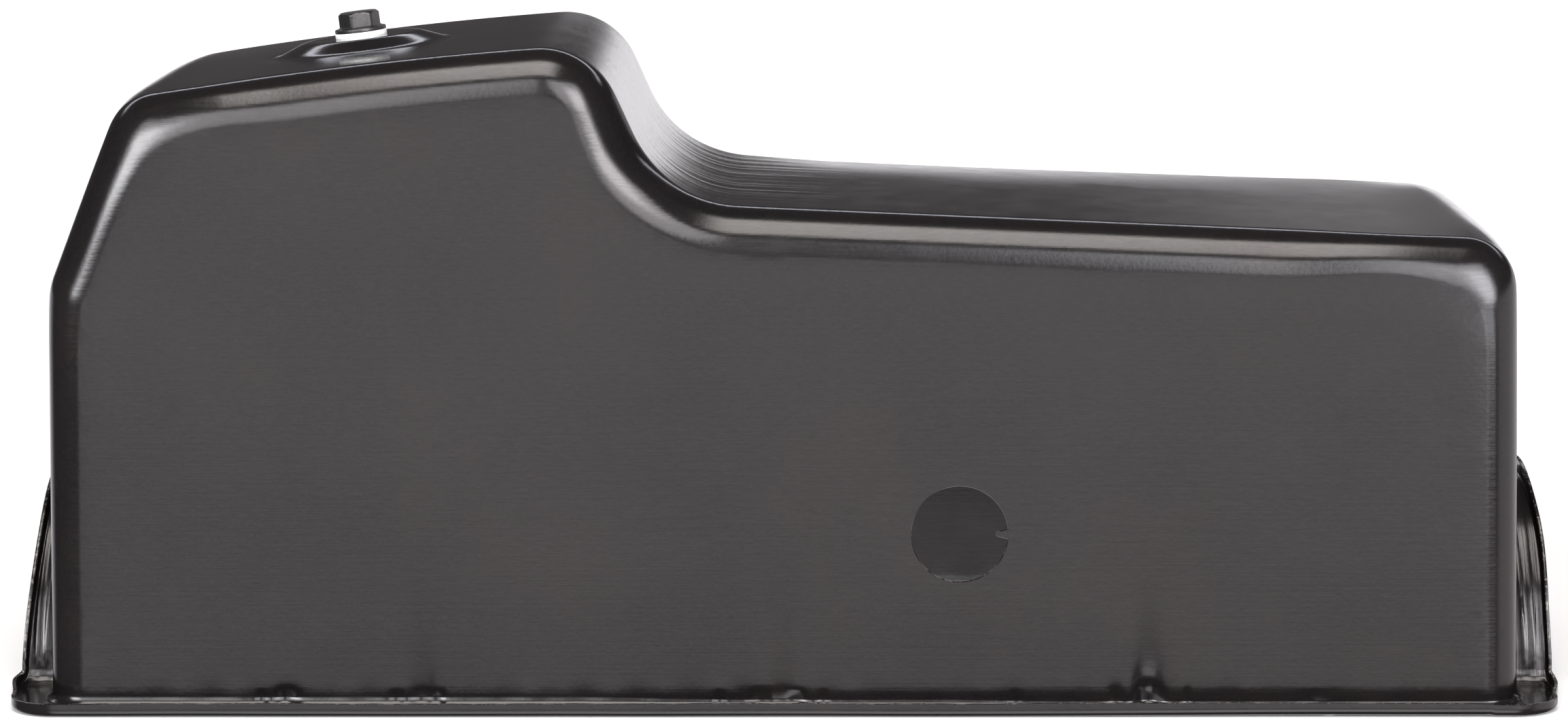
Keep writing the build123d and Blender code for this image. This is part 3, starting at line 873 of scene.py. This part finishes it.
def side_panel(side, tops):
    border = [row[-1] for row in ribs[side]]
    border_x, _, border_z = np.array([skin.points[g] for g in border]).T
    slopes, reaches = np.array([soft_onset(s) for s in samples]).T
    foot = sorted(tops, key=lambda g: -skin.points[g][0])[1:-1]    # right to left
    loops = [[(g, (skin.points[g][0], skin.points[g][2])) for g in border + foot]]

    def lift(x, z):
        distances = np.hypot(border_x - x, border_z - z)
        k = int(np.argmin(distances))
        near = float(distances[k])
        roll = 0.5 * slopes[k] * reaches[k] * max(0.0, 1 - near / reaches[k]) ** 2
        return (x, side * (wall_y(z) - dent(side, x, z) * smooth(near / 9.0) - roll), z)

    inner = []
    if side < 0:
        loops.append(skin.hole(port_outline(), lift))
        for offset, shift in ((1.3, 0), (3.2, 0.5), (6.0, 0)):
            inner += circle((PORT_X, PORT_Z), PORT_R + offset, 90, shift)

    def clear(x, z, gap):
        """Away from the border and from the rings round the port."""
        if side < 0 and math.hypot(x - PORT_X, z - PORT_Z) < PORT_R + 6 + gap:
            return False
        return np.min(np.hypot(border_x - x, border_z - z)) >= gap * 0.8

    row = 0
    z = SKIRT_Z + 1.6
    while z < PANEL_ROWS[-1][0]:
        height, x_step, shift, gap = next(r[1:] for r in PANEL_ROWS if z < r[0])
        x = -292.0 + (shift if row % 2 else 0)
        while x < 292:
            step = x_step
            for centre, dent_height, half_width, _ in DENTS[side]:
                if z < dent_height + 8 and abs(x - centre) < 2.4 * half_width + 3:
                    step = min(step, max(0.9, half_width * 0.33))
            if clear(x, z, min(step, gap)):
                inner.append((x, z))
            x += step
        z += height
        row += 1
    skin.patch(loops, inner, lift, flip=(side > 0))


side_panel(-1, front_tops)
side_panel(1, back_tops)


# ---- End walls
def end_panel(end, tops):
    """Wall between the arch line and PANEL_TOP."""
    if end < 0:
        rows, top_row = range(0, LEFT_RIB + 1), LEFT_RIB
    else:
        rows, top_row = range(len(samples) - 1, RIGHT_RIB - 1, -1), RIGHT_RIB
    bottom = tops if skin.points[tops[0]][1] < 0 else tops[::-1]    # -y to +y
    border = (bottom + [ribs[1][i][0] for i in rows] + flats[top_row][-2:0:-1]
              + [ribs[-1][i][0] for i in reversed(rows)])
    loop = [(g, skin.points[g][1:]) for g in border]

    def lift(y, z):
        depth = (0.14 * wobble(y * 0.02, z * 0.02, 20 + end)
                 * smooth((95 - abs(y)) / 20) * smooth((PANEL_TOP - z) / 20))
        return (end_x(end, z) - end * depth, y, z)

    inner = []
    for row, z in enumerate(np.arange(10.0, PANEL_TOP - 3, 4.5)):
        for y in np.arange(-104.0 + (2.5 if row % 2 else 0), 104, 5.0):
            if math.hypot(y, z) > ARCH_R + SKIRT_H + 2.5 and abs(y) < 102:
                inner.append((y, z))
    ring_r, count = ARCH_R + SKIRT_H + 1.6, 64
    for k in range(1, count):
        a = math.radians(12) + math.radians(156) * k / count
        inner.append((ring_r * math.cos(a), ring_r * math.sin(a)))
    skin.patch([loop], inner, lift, flip=(end < 0))


end_panel(1, right_tops)
end_panel(-1, left_tops)


# ---- Two skins and the rims
def build_shell():
    """Returns points, faces and the wear weight of each point."""
    outer = np.array(skin.points)
    normals = np.zeros_like(outer)     # area weighted
    used = np.zeros(len(outer), bool)
    for face in skin.faces:
        p = outer[list(face)]
        if len(face) == 3:
            normal = np.cross(p[1] - p[0], p[2] - p[0])
        else:
            normal = np.cross(p[2] - p[0], p[3] - p[1])
        for i in face:
            normals[i] += normal
        used[list(face)] = True
    normals /= np.maximum(np.linalg.norm(normals, axis=1)[:, None], 1e-12)
    new_index = -np.ones(len(outer), int)
    new_index[used] = np.arange(used.sum())
    outer, normals = outer[used], normals[used]
    count = len(outer)
    faces = [tuple(int(new_index[i]) for i in face) for face in skin.faces]
    edges = dict.fromkeys((face[k], face[(k + 1) % len(face)])
                          for face in faces for k in range(len(face)))
    border = [(a, b) for a, b in edges if (b, a) not in edges]
    # direction out of the sheet at the rims
    out = {}
    for a, b in border:
        d = outer[b] - outer[a]
        for i in (a, b):
            e = np.cross(d, normals[i])
            out[i] = out.get(i, 0) + e / max(np.linalg.norm(e), 1e-9)
    inner = outer - normals * THICK
    rim1, rim2, rim_points = {}, {}, []
    for i, e in out.items():
        e = e / max(np.linalg.norm(e), 1e-9)
        for rim, share in ((rim1, 0.76), (rim2, 0.24)):
            rim[i] = 2 * count + len(rim_points)
            rim_points.append(outer[i] * share + inner[i] * (0.24 if rim is rim1 else 0.76)
                              + e * 0.26)
    points = np.vstack([outer, inner, np.array(rim_points)])
    faces += [tuple(i + count for i in reversed(face)) for face in faces]
    for a, b in border:
        faces.append((b, a, rim1[a], rim1[b]))
        faces.append((rim1[b], rim1[a], rim2[a], rim2[b]))
        faces.append((rim2[b], rim2[a], a + count, b + count))
    wear = np.zeros(len(points))
    for i in out:
        wear[[rim1[i], rim2[i]]] = 1.0
        wear[[i, i + count]] = 0.55
    return points, faces, wear


def make_mesh(name, points, faces, scale=MM):
    mesh = bpy.data.meshes.new(name)
    mesh.from_pydata([tuple(v * scale for v in p) for p in np.asarray(points, float).tolist()],
                     [], faces)
    mesh.update()
    ob = bpy.data.objects.new(name, mesh)
    bpy.context.scene.collection.objects.link(ob)
    return ob


def shade(ob, sharp_degrees):
    mesh = ob.data
    mesh.polygons.foreach_set("use_smooth", [True] * len(mesh.polygons))
    mesh.set_sharp_from_angle(angle=math.radians(sharp_degrees))


def add_attribute(ob, name, values):
    attribute = ob.data.attributes.new(name, "FLOAT", "POINT")
    attribute.data.foreach_set("value", values)


shell_points, shell_faces, shell_wear = build_shell()
shell = make_mesh("pan_shell_skin", shell_points, shell_faces)
add_attribute(shell, "wear", shell_wear)
shade(shell, sharp_degrees=40)
weighted = shell.modifiers.new("weighted", "WEIGHTED_NORMAL")
weighted.mode = "FACE_AREA"
weighted.weight = 40
weighted.keep_sharp = True
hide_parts("pan_shell")
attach(shell, "pan")


def add_paint_masks(points):
    """Masks for the paint: step, arches, side panels and floors."""
    def ramp(v, start, end):
        t = np.clip((v - start) / (end - start), 0, 1)
        return t * t * (3 - 2 * t)

    x, y, z = points.T
    masks = {
        "m_step": (ramp(z, 192, 199) * ramp(x, -72, -54) * ramp(x, 36, -16)
                   * ramp(np.abs(y), 96.0, 74.0)),
        "m_arch": (np.abs(x) > 308) & (z > 4),
        "m_panel": (np.abs(y) > 100) & (z > 3),
        "m_floor": ramp(z, 186, 192) * ramp(np.abs(y), 108.0, 100.0),
    }
    for name, values in masks.items():
        add_attribute(shell, name, values.astype(float))


add_paint_masks(shell_points)

# ---- Drain plug and its gasket, built upright on the seat and tilted with it
seat_axis = Vector((-math.sin(SEAT_TILT), 0, math.cos(SEAT_TILT)))
seat_point = Vector((SEAT_X, 0, SEAT_Z)) + seat_axis * SEAT_RISE
PLUG_PLACE = Matrix.Translation(seat_point) @ Matrix.Rotation(-SEAT_TILT, 4, "Y")

GASKET_H = 2.2
FLANGE_R, FLANGE_H = 11.1, 2.0
HEX_H, HEX_FLATS, HEX_TURN = 6.6, 15.9, math.radians(11)
THREAD_PITCH, THREAD_MAJOR, THREAD_MINOR = 1.27, 6.30, 5.52
THREAD_Z0, THREAD_Z1 = GASKET_H - 19.0, GASKET_H - 1.6
HEX_Z = GASKET_H + FLANGE_H
PLUG_TOP = HEX_Z + HEX_H


def on_seat(points):
    return [tuple(PLUG_PLACE @ Vector(p)) for p in points]


def arc_points(cx, cz, r, start, end, steps):
    """(radius, z) points on an arc; angles in degrees."""
    angles = [math.radians(start + (end - start) * i / steps) for i in range(steps + 1)]
    return [(cx + r * math.cos(a), cz + r * math.sin(a)) for a in angles]


# radius of the plug at angle a and height z, where it isn't round
def hexagon(a, z):
    r = HEX_FLATS / 2 / math.cos((a - HEX_TURN) % (math.pi / 3) - math.pi / 6)
    corner = HEX_FLATS / math.sqrt(3) - 0.35       # corners are softened beyond this
    return corner + 0.12 * (r - corner) if r > corner else r


def hex_foot(a, z):
    return hexagon(a, z) + 0.55


def hex_chamfer(a, z):
    cone = HEX_FLATS / 2 - 0.35 + (PLUG_TOP - z) / math.tan(math.radians(38))
    return min(hexagon(a, z), cone)


def thread(a, z):
    """Helical thread that tapers in at its tip and runs out below the flange."""
    phase = ((z - THREAD_Z0) / THREAD_PITCH - a / (2 * math.pi)) % 1.0
    crest = min(1.0, max(0.0, (abs(phase * 2 - 1) - 0.1) / 0.78))
    lead = smooth((z - THREAD_Z0 - 0.3) / 1.9)
    run_out = smooth((THREAD_Z1 - z) / 0.9)
    major = (THREAD_MINOR - 0.9) + (THREAD_MAJOR - THREAD_MINOR + 0.9) * lead
    root = THREAD_MINOR - 0.9 * (1 - lead)
    return root + (major - root) * crest * lead * run_out


def plug_mesh():
    """Flanged hex head with domed chamfer and a cut 1/2-20 thread below it."""
    count = 144
    steps = int((THREAD_Z1 - THREAD_Z0) / (THREAD_PITCH / 10))
    # rings from the bottom up: radius (number or function), z
    rings = [(r, THREAD_Z0) for r in (0.0, 1.2, 2.6, 3.9)]
    rings += [(thread, THREAD_Z0 + (THREAD_Z1 - THREAD_Z0) * q / steps) for q in range(steps + 1)]
    rings += [(5.75, THREAD_Z1 + 0.25), (5.75, GASKET_H - 0.45), (5.95, GASKET_H - 0.12)]
    rings += [(6.2, GASKET_H), (9.8, GASKET_H)]
    rings += arc_points(FLANGE_R - 0.35, GASKET_H + 0.35, 0.35, -90, 0, 4)
    rings += arc_points(FLANGE_R - 0.5, GASKET_H + 1.15, 0.5, 0, 65, 4)
    rings += [(10.0, GASKET_H + 1.78), (hex_foot, HEX_Z)]
    rings += [(hexagon, HEX_Z + 0.45), (hexagon, HEX_Z + 0.8)]
    rings += [(hexagon, HEX_Z + 1.4 + (HEX_H - 3.3) * k / 5) for k in range(6)]
    rings += [(hex_chamfer, PLUG_TOP - 1.75 + 1.75 * k / 6) for k in range(7)]
    # shallow forged dish in the top
    rings += [(7.0, PLUG_TOP + 0.02), (5.6, PLUG_TOP + 0.03), (5.2, PLUG_TOP - 0.18),
              (3.4, PLUG_TOP - 0.3), (1.5, PLUG_TOP - 0.32), (0.0, PLUG_TOP - 0.32)]
    points, rows, faces = [], [], []
    for radius, z in rings:
        first = len(points)
        if radius == 0.0:
            points.append((0, 0, z))
        else:
            for k in range(count):
                a = 2 * math.pi * k / count
                r = radius(a, z) if callable(radius) else radius
                points.append((r * math.cos(a), r * math.sin(a), z))
        rows.append(range(first, len(points)))
    for low, high in zip(rows[:-1], rows[1:]):
        for k in range(count):
            k2 = (k + 1) % count
            if len(low) == 1:
                faces.append((low[0], high[k2], high[k]))
            elif len(high) == 1:
                faces.append((low[k], low[k2], high[0]))
            else:
                faces.append((low[k], low[k2], high[k2], high[k]))
    return points, faces


def gasket_mesh():
    """Nylon washer, slightly crushed and uneven at its outer edge."""
    profile = arc_points(6.75, 0.3, 0.3, 180, 270, 4)
    profile += arc_points(10.8, 0.3, 0.3, -90, 0, 4)
    profile += [(11.14, 1.1)]
    profile += arc_points(10.75, 1.85, 0.35, 0, 90, 5)
    profile += arc_points(6.75, 1.9, 0.3, 90, 180, 4)
    count, size = 120, len(profile)
    points, faces = [], []
    for k, (cos, sin) in enumerate(circle((0, 0), 1.0, count)):
        k2 = (k + 1) % count
        for j, (r, z) in enumerate(profile):
            if r > 9:
                r *= 1 + (0.012 * wobble(cos * 1.3, sin * 1.3, z * 0.5 + 3)
                          + 0.006 * wobble(cos * 5, sin * 5, z))
            points.append((r * cos, r * sin, z))
            j2 = (j + 1) % size
            faces.append((k * size + j, k2 * size + j, k2 * size + j2, k * size + j2))
    return points, faces


plug_points, plug_faces = plug_mesh()
plug = make_mesh("drain_plug_threaded", on_seat(plug_points), plug_faces)
shade(plug, sharp_degrees=38)
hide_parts("drain_plug")
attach(plug, "plug")

gasket_points, gasket_faces = gasket_mesh()
gasket = make_mesh("drain_plug_washer", on_seat(gasket_points), gasket_faces)
shade(gasket, sharp_degrees=50)
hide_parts("drain_plug_gasket")
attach(gasket, "gasket")


# ---- Materials
class Graph:
    """Short calls for building a shader node tree."""

    def __init__(self, tree):
        self.tree = tree
        tree.nodes.clear()

    def put(self, socket, value):
        """Links a socket or sets a value; colours get alpha 1, None is left alone."""
        if isinstance(value, bpy.types.NodeSocket):
            self.tree.links.new(value, socket)
        elif value is not None:
            if socket.type == "RGBA":
                value = (*value, 1.0)
            socket.default_value = value

    def node(self, kind, inputs=None, **settings):
        node = self.tree.nodes.new("ShaderNode" + kind)
        for name, value in settings.items():
            setattr(node, name, value)
        for key, value in (inputs or {}).items():
            self.put(node.inputs[key], value)
        return node

    def math(self, operation, a, b=None):
        return self.node("Math", {0: a, 1: b}, operation=operation).outputs[0]


class Material(Graph):
    def __init__(self, name):
        self.material = bpy.data.materials.new(name)
        self.material.use_nodes = True
        super().__init__(self.material.node_tree)
        output = self.node("OutputMaterial")
        self.bsdf = self.node("BsdfPrincipled")
        self.put(output.inputs[0], self.bsdf.outputs[0])
        self.coords = self.node("TexCoord").outputs["Object"]

    def surface(self, inputs):
        """Sets the surface shader's inputs; returns the finished material."""
        for key, value in inputs.items():
            self.put(self.bsdf.inputs[key], value)
        return self.material

    def stretched(self, scale):
        mapping = self.node("Mapping", {"Vector": self.coords})
        mapping.inputs["Scale"].default_value = scale
        return mapping.outputs[0]

    def noise(self, scale, detail=3.0, rough=0.55, coords=None, distortion=0.0):
        return self.node("TexNoise", {
            "Scale": scale, "Detail": detail, "Roughness": rough, "Distortion": distortion,
            "Vector": self.coords if coords is None else coords}).outputs["Fac"]

    def remap(self, value, span, to=(0.0, 1.0)):
        return self.node("MapRange", {
            "Value": value, "From Min": span[0], "From Max": span[1],
            "To Min": to[0], "To Max": to[1]}, clamp=True).outputs["Result"]

    def mix(self, factor, a, b):
        return self.node("Mix", {0: factor, 6: a, 7: b}, data_type="RGBA").outputs[2]

    def attribute(self, name):
        return self.node("Attribute", attribute_name=name).outputs["Fac"]

    def bump(self, height, strength, distance, normal=None):
        return self.node("Bump", {"Strength": strength, "Distance": distance,
                                  "Height": height, "Normal": normal}).outputs[0]


def pan_paint():
    m = Material("pan_black_paint")
    # slow warm/cool mottling of the dip paint, plus fine pigment grain
    slow = m.noise(scale=14.0, rough=0.5)
    mid = m.noise(scale=55.0, detail=4.0, rough=0.6)
    fine = m.noise(scale=900.0, detail=2.0, rough=0.6)
    base = m.mix(m.remap(slow, (0.35, 0.66)), (0.0040, 0.0034, 0.0035), (0.0062, 0.0050, 0.0050))
    base = m.mix(m.remap(mid, (0.55, 0.8), to=(0.0, 0.4)), base, (0.0090, 0.0066, 0.0060))
    base = m.mix(m.remap(fine, (0.4, 0.7), to=(0.0, 0.4)), base, (0.0095, 0.0088, 0.0092))
    # chipped paint along the rims
    wear = m.attribute("wear")
    chips = m.noise(scale=420.0, detail=4.0, rough=0.65)
    edge = m.math("MULTIPLY", m.remap(wear, (0.6, 1.0)), m.remap(chips, (0.5, 0.62)))
    base = m.mix(m.math("MULTIPLY", edge, 0.75), base, (0.19, 0.175, 0.16))
    # glossier floors, duller chips
    panel = m.attribute("m_panel")
    grain = m.noise(scale=1.0, detail=2.0, rough=0.5, coords=m.stretched((60.0, 60.0, 1500.0)))
    rough = m.remap(mid, (0.3, 0.75), to=(0.150, 0.185))
    rough = m.math("ADD", rough, m.remap(grain, (0.3, 0.7), to=(-0.012, 0.022)))
    rough = m.math("ADD", rough, m.math("MULTIPLY", edge, 0.16))
    rough = m.math("SUBTRACT", rough, m.math("MULTIPLY", m.attribute("m_floor"), 0.055))
    # gloss of the paint film: slow clouds and a fine rolled grain along the walls
    cloud = m.noise(scale=9.0, distortion=0.4)
    thread_grain = m.noise(scale=1.0, rough=0.6, coords=m.stretched((220.0, 220.0, 2600.0)))
    film = m.math("ADD", m.remap(cloud, (0.3, 0.7), to=(0.478, 0.522)),
                  m.math("MULTIPLY", m.remap(thread_grain, (0.3, 0.7), to=(-0.05, 0.05)), panel))
    tint = m.mix(m.remap(cloud, (0.42, 0.66)), (1.0, 0.99, 1.0), (1.0, 0.955, 0.95))
    # orange peel, horizontal rolling grain, draw lines on the step and round the arches
    peel = m.noise(scale=520.0, detail=2.0, rough=0.5)
    normal = m.bump(peel, strength=0.10, distance=0.00022)
    roll = m.noise(scale=1.0, rough=0.6, coords=m.stretched((14.0, 14.0, 900.0)))
    normal = m.bump(m.math("MULTIPLY", roll, panel), 0.10, 0.0002, normal)
    draw = m.noise(scale=1.0, coords=m.stretched((4.0, 105.0, 4.0)))
    normal = m.bump(m.math("MULTIPLY", draw, m.attribute("m_step")), 0.28, 0.0008, normal)
    hoop = m.noise(scale=1.0, detail=4.0, rough=0.6, coords=m.stretched((900.0, 20.0, 20.0)))
    normal = m.bump(m.math("MULTIPLY", hoop, m.attribute("m_arch")), 0.35, 0.0004, normal)
    return m.surface({
        "Base Color": base, "Metallic": m.math("MULTIPLY", edge, 0.55), "Roughness": rough,
        "IOR": 1.5, "Specular IOR Level": film, "Specular Tint": tint, "Normal": normal})


def inner_paint(name, tint=1.0):
    """Duller black paint; tint brightens it."""
    def tinted(*colour):
        return tuple(c * tint for c in colour)

    m = Material(name)
    slow = m.noise(scale=18.0, rough=0.5)
    fine = m.noise(scale=700.0, rough=0.6)
    base = m.mix(m.remap(slow, (0.35, 0.7)), tinted(0.012, 0.011, 0.011),
                 tinted(0.019, 0.017, 0.016))
    base = m.mix(m.remap(fine, (0.45, 0.75), to=(0, 0.4)), base, tinted(0.024, 0.023, 0.023))
    return m.surface({
        "Base Color": base,
        "Roughness": m.remap(m.noise(scale=60.0), (0.3, 0.7), to=(0.26, 0.38)),
        "Normal": m.bump(m.noise(scale=480.0, detail=2.0), strength=0.12, distance=0.0003)})


def oxide():
    m = Material("black_oxide")
    slow = m.noise(scale=160.0)
    fine = m.noise(scale=1500.0, rough=0.65)
    base = m.mix(m.remap(slow, (0.35, 0.7)), (0.046, 0.045, 0.047), (0.078, 0.075, 0.075))
    base = m.mix(m.remap(fine, (0.5, 0.75), to=(0, 0.5)), base, (0.105, 0.098, 0.094))
    # worn along the sharp edges
    sharp = m.remap(m.node("NewGeometry").outputs["Pointiness"], (0.53, 0.60))
    patchy = m.remap(m.noise(scale=600.0, detail=4.0, rough=0.6), (0.4, 0.6))
    worn = m.math("MULTIPLY", sharp, patchy)
    base = m.mix(m.math("MULTIPLY", worn, 0.7), base, (0.22, 0.19, 0.16))
    forge = m.noise(scale=420.0, detail=4.0, rough=0.6)
    return m.surface({
        "Base Color": base,
        "Metallic": m.remap(slow, (0.2, 0.8), to=(0.72, 0.92)),
        "Roughness": m.remap(fine, (0.3, 0.75), to=(0.26, 0.40)),
        "Normal": m.bump(forge, strength=0.28, distance=0.0003)})


def nylon():
    m = Material("natural_nylon")
    slow = m.noise(scale=190.0, rough=0.5)
    fine = m.noise(scale=800.0, rough=0.6)
    base = m.mix(m.remap(slow, (0.3, 0.7)), (0.80, 0.82, 0.79), (0.88, 0.885, 0.855))
    base = m.mix(m.remap(fine, (0.62, 0.8), to=(0.0, 0.35)), base, (0.60, 0.62, 0.52))
    return m.surface({
        "Base Color": base,
        "Roughness": m.remap(fine, (0.3, 0.7), to=(0.38, 0.52)),
        "Subsurface Weight": 0.25,
        "Subsurface Radius": (0.002, 0.002, 0.0015),
        "Normal": m.bump(m.noise(scale=900.0, detail=2.0), strength=0.15, distance=0.0002)})


def pale_floor():
    m = Material("pale_floor")
    mottle = m.remap(m.noise(scale=3.0), (0.3, 0.7))
    return m.surface({"Roughness": 0.85, "Specular IOR Level": 0.15,
                      "Base Color": m.mix(mottle, (0.80, 0.80, 0.80), (0.82, 0.82, 0.82))})


def assign(ob, material):
    ob.data.materials.clear()
    ob.data.materials.append(material)


assign(shell, pan_paint())
assign(plug, oxide())
assign(gasket, nylon())
baffle_paint = inner_paint("inner_black_paint")
for part in ("sump_baffle", "baffle_brackets"):
    assign(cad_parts[part], baffle_paint)
assign(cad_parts["drain_weld_nut"], inner_paint("nut_black_paint", tint=1.4))

# ---- Stage, light, camera (metres)
scene = bpy.context.scene


def floor_mesh():
    """Disc just under the pan, its rings closer towards the middle."""
    radius, count, rings, z = 9.0, 64, 10, -0.00003
    points = [(0, 0, 0)]
    for j in range(1, rings + 1):
        points += [(x, y, z) for x, y in circle((0, 0), radius * (j / rings) ** 2, count)]
    faces = [(0, 1 + k, 1 + (k + 1) % count) for k in range(count)]
    for j in range(rings - 1):
        for k in range(count):
            a = 1 + j * count + k
            b = 1 + j * count + (k + 1) % count
            faces.append((a, a + count, b + count, b))
    return points, faces


floor = make_mesh("floor", *floor_mesh(), scale=1.0)
assign(floor, pale_floor())
floor.visible_glossy = False


def inside_fill():
    """Area light inside the pan."""
    light = bpy.data.lights.new("inside_fill", "AREA")
    light.shape = "RECTANGLE"
    light.size, light.size_y = 0.20, 0.14
    light.energy = 1.12
    lamp = bpy.data.objects.new("inside_fill", light)
    lamp.location = (0.085, 0.0, 0.170)
    lamp.visible_camera = False
    lamp.visible_glossy = False
    scene.collection.objects.link(lamp)
    # it lights the sheet only, so that the floor seen through the port stays dark
    lit = bpy.data.collections.new("inside_fill_lit")
    lit.objects.link(shell)
    lamp.light_linking.receiver_collection = lit


inside_fill()


def studio_world():
    """Soft studio: two front softboxes with a gap at the camera, one overhead, a low bright
    sweep behind. Angles are in degrees."""
    world = bpy.data.worlds.new("studio")
    scene.world = world
    world.use_nodes = True
    g = Graph(world.node_tree)
    output = g.node("OutputWorld")
    X, Y, Z = g.node("SeparateXYZ", {0: g.node("TexCoord").outputs["Generated"]}).outputs

    def edge(value, start, end):
        """Smooth 0 to 1 from start to end; runs downwards if start > end."""
        if start > end:
            return g.math("SUBTRACT", 1.0, edge(value, end, start))
        return g.node("MapRange", {"Value": value, "From Min": start, "From Max": end},
                      interpolation_type="SMOOTHSTEP").outputs["Result"]

    def window(value, **edges):
        """One mask for each edge, in the order given."""
        return [edge(value, *span) for span in edges.values()]

    def product(first, *rest):
        for mask in rest:
            first = g.math("MULTIPLY", first, mask)
        return first

    to_degrees = 180.0 / math.pi
    towards = g.math("MULTIPLY", Y, -1.0)
    el = g.math("MULTIPLY", g.math("ARCSINE", Z), to_degrees)    # elevation
    # azimuth: 0 towards the camera, + right; and from straight behind, + right
    az = g.math("MULTIPLY", g.math("ARCTAN2", X, towards), to_degrees)
    az_behind = g.math("MULTIPLY", g.math("ARCTAN2", X, Y), to_degrees)
    # over the top: 180 is the horizon behind
    over = g.math("MULTIPLY", g.math("ARCTAN2", Z, towards), to_degrees)
    slant = g.math("DIVIDE", X, g.math("MAXIMUM", Z, 0.05))
    front = product(*window(az, rise=(-115.0, -75.0), fall=(115.0, 75.0)))
    back = g.math("SUBTRACT", 1.0, front)

    parts = []

    def glow(*masks, level, tint):
        parts.append((g.math("MULTIPLY", product(*masks), level), tint))

    box_left, box_right = (1.0, 1.0, 1.015), (1.0, 1.0, 1.03)
    table, sweep = (1.0, 0.985, 1.0), (1.0, 0.985, 1.015)

    # faint room, darker behind
    glow(front, level=0.15, tint=(1.0, 0.93, 0.95))
    glow(back, level=0.075, tint=(1.0, 0.93, 0.96))
    # overhead box, warm
    glow(*window(over, rise=(51.0, 57.0), fall=(97.0, 89.0)),
         *window(slant, rise=(-0.34, -0.20), fall=(0.36, 0.10)),
         edge(el, 20.0, 30.0), level=6.4, tint=(1.04, 1.0, 0.955))
    # front softbox left of the camera, and its hot middle
    box_height = product(*window(el, rise=(2.0, 12.0), fall=(46.0, 40.0)))
    glow(*window(az, fall=(-2.5, -9.0), rise=(-60.0, -50.0)), box_height,
         level=4.6, tint=box_left)
    glow(*window(az, fall=(-18.0, -34.0), rise=(-52.0, -44.0)),
         product(*window(el, rise=(4.0, 12.0), fall=(36.0, 24.0))), level=13.0, tint=box_left)
    # front softbox right of the camera, its low edge and its hot middle
    glow(*window(az, rise=(3.8, 7.2), fall=(56.0, 46.0)), box_height, level=5.2, tint=box_right)
    glow(*window(az, rise=(12.0, 18.0), fall=(46.0, 40.0)),
         *window(el, rise=(-6.5, -3.0), fall=(6.0, 0.0)), level=5.0, tint=box_right)
    glow(*window(az, rise=(16.0, 30.0), fall=(48.0, 42.0)),
         product(*window(el, rise=(3.0, 12.0), fall=(40.0, 26.0))), level=8.0, tint=box_right)
    # dim gap between them
    glow(*window(az, rise=(-12.0, -4.0), fall=(12.0, 5.0)),
         product(*window(el, rise=(0.0, 10.0), fall=(46.0, 40.0))),
         level=0.22, tint=(0.97, 0.99, 1.03))
    # the table in front: dim far out, bright close under the pan
    table_width = product(*window(az, rise=(-24.0, -12.0), fall=(27.0, 15.0)))
    for level, rise in ((0.58, (-27.0, -20.0)), (0.60, (-12.4, -9.5)), (0.46, (-12.0, -2.5))):
        glow(table_width, *window(el, rise=rise, fall=(6.0, 0.0)), level=level, tint=table)
    glow(*window(az, rise=(-24.0, -12.0), fall=(27.0, 15.0)),
         *window(el, rise=(-58.0, -48.0), fall=(-15.5, -23.0)), level=2.6, tint=box_right)
    # right side grey, left side dark
    glow(*window(az, rise=(44.0, 62.0), fall=(165.0, 140.0)),
         *window(el, fall=(14.0, 4.0), rise=(-40.0, -10.0)), level=1.05, tint=(1.0, 0.95, 0.97))
    # strip behind, bluish
    glow(back, *window(el, rise=(25.5, 28.0), fall=(33.0, 30.5)),
         *window(az_behind, rise=(-60.0, -45.0), fall=(60.0, 45.0)),
         level=2.7, tint=(0.95, 0.97, 1.06))
    # sweep behind: white near the horizon and below, its edge lower on the left
    glow(back, edge(el, 4.7, 2.7), *window(az_behind, rise=(-4.5, -1.0), fall=(22.0, 12.0)),
         level=1.0, tint=sweep)
    glow(back, edge(el, 0.6, -1.4), *window(az_behind, rise=(-70.0, -40.0), fall=(-1.0, -4.5)),
         level=1.0, tint=sweep)
    glow(back, edge(el, 16.0, 11.0), *window(az_behind, rise=(3.2, 7.0), fall=(30.0, 18.0)),
         level=0.14, tint=(1.0, 0.97, 0.99))

    total = None
    for strength, tint in parts:
        part = g.node("VectorMath", {0: tint, "Scale": strength}, operation="SCALE").outputs[0]
        if total is None:
            total = part
        else:
            total = g.node("VectorMath", {0: total, 1: part}, operation="ADD").outputs[0]
    studio = g.node("Background", {"Color": total, "Strength": 1.0})
    # the camera itself sees a plain pale background
    plain = g.node("Background", {"Color": (0.97, 0.97, 0.975), "Strength": 1.0})
    is_camera = g.node("LightPath").outputs[0]
    mixed = g.node("MixShader", {0: is_camera, 1: studio.outputs[0], 2: plain.outputs[0]})
    g.put(output.inputs[0], mixed.outputs[0])


studio_world()

camera_data = bpy.data.cameras.new("camera")
camera_data.sensor_width = 36.0
camera_data.lens = 104.55
camera_data.shift_x = -0.0310
camera_data.clip_end = 60.0
camera = bpy.data.objects.new("camera", camera_data)
camera.location = (0.020, -1.97213, 0.42898)
camera.rotation_euler = (math.radians(90 - 8.723), 0, 0)
scene.collection.objects.link(camera)
scene.camera = camera
scene.view_settings.view_transform = "Standard"
scene.view_settings.look = "None"
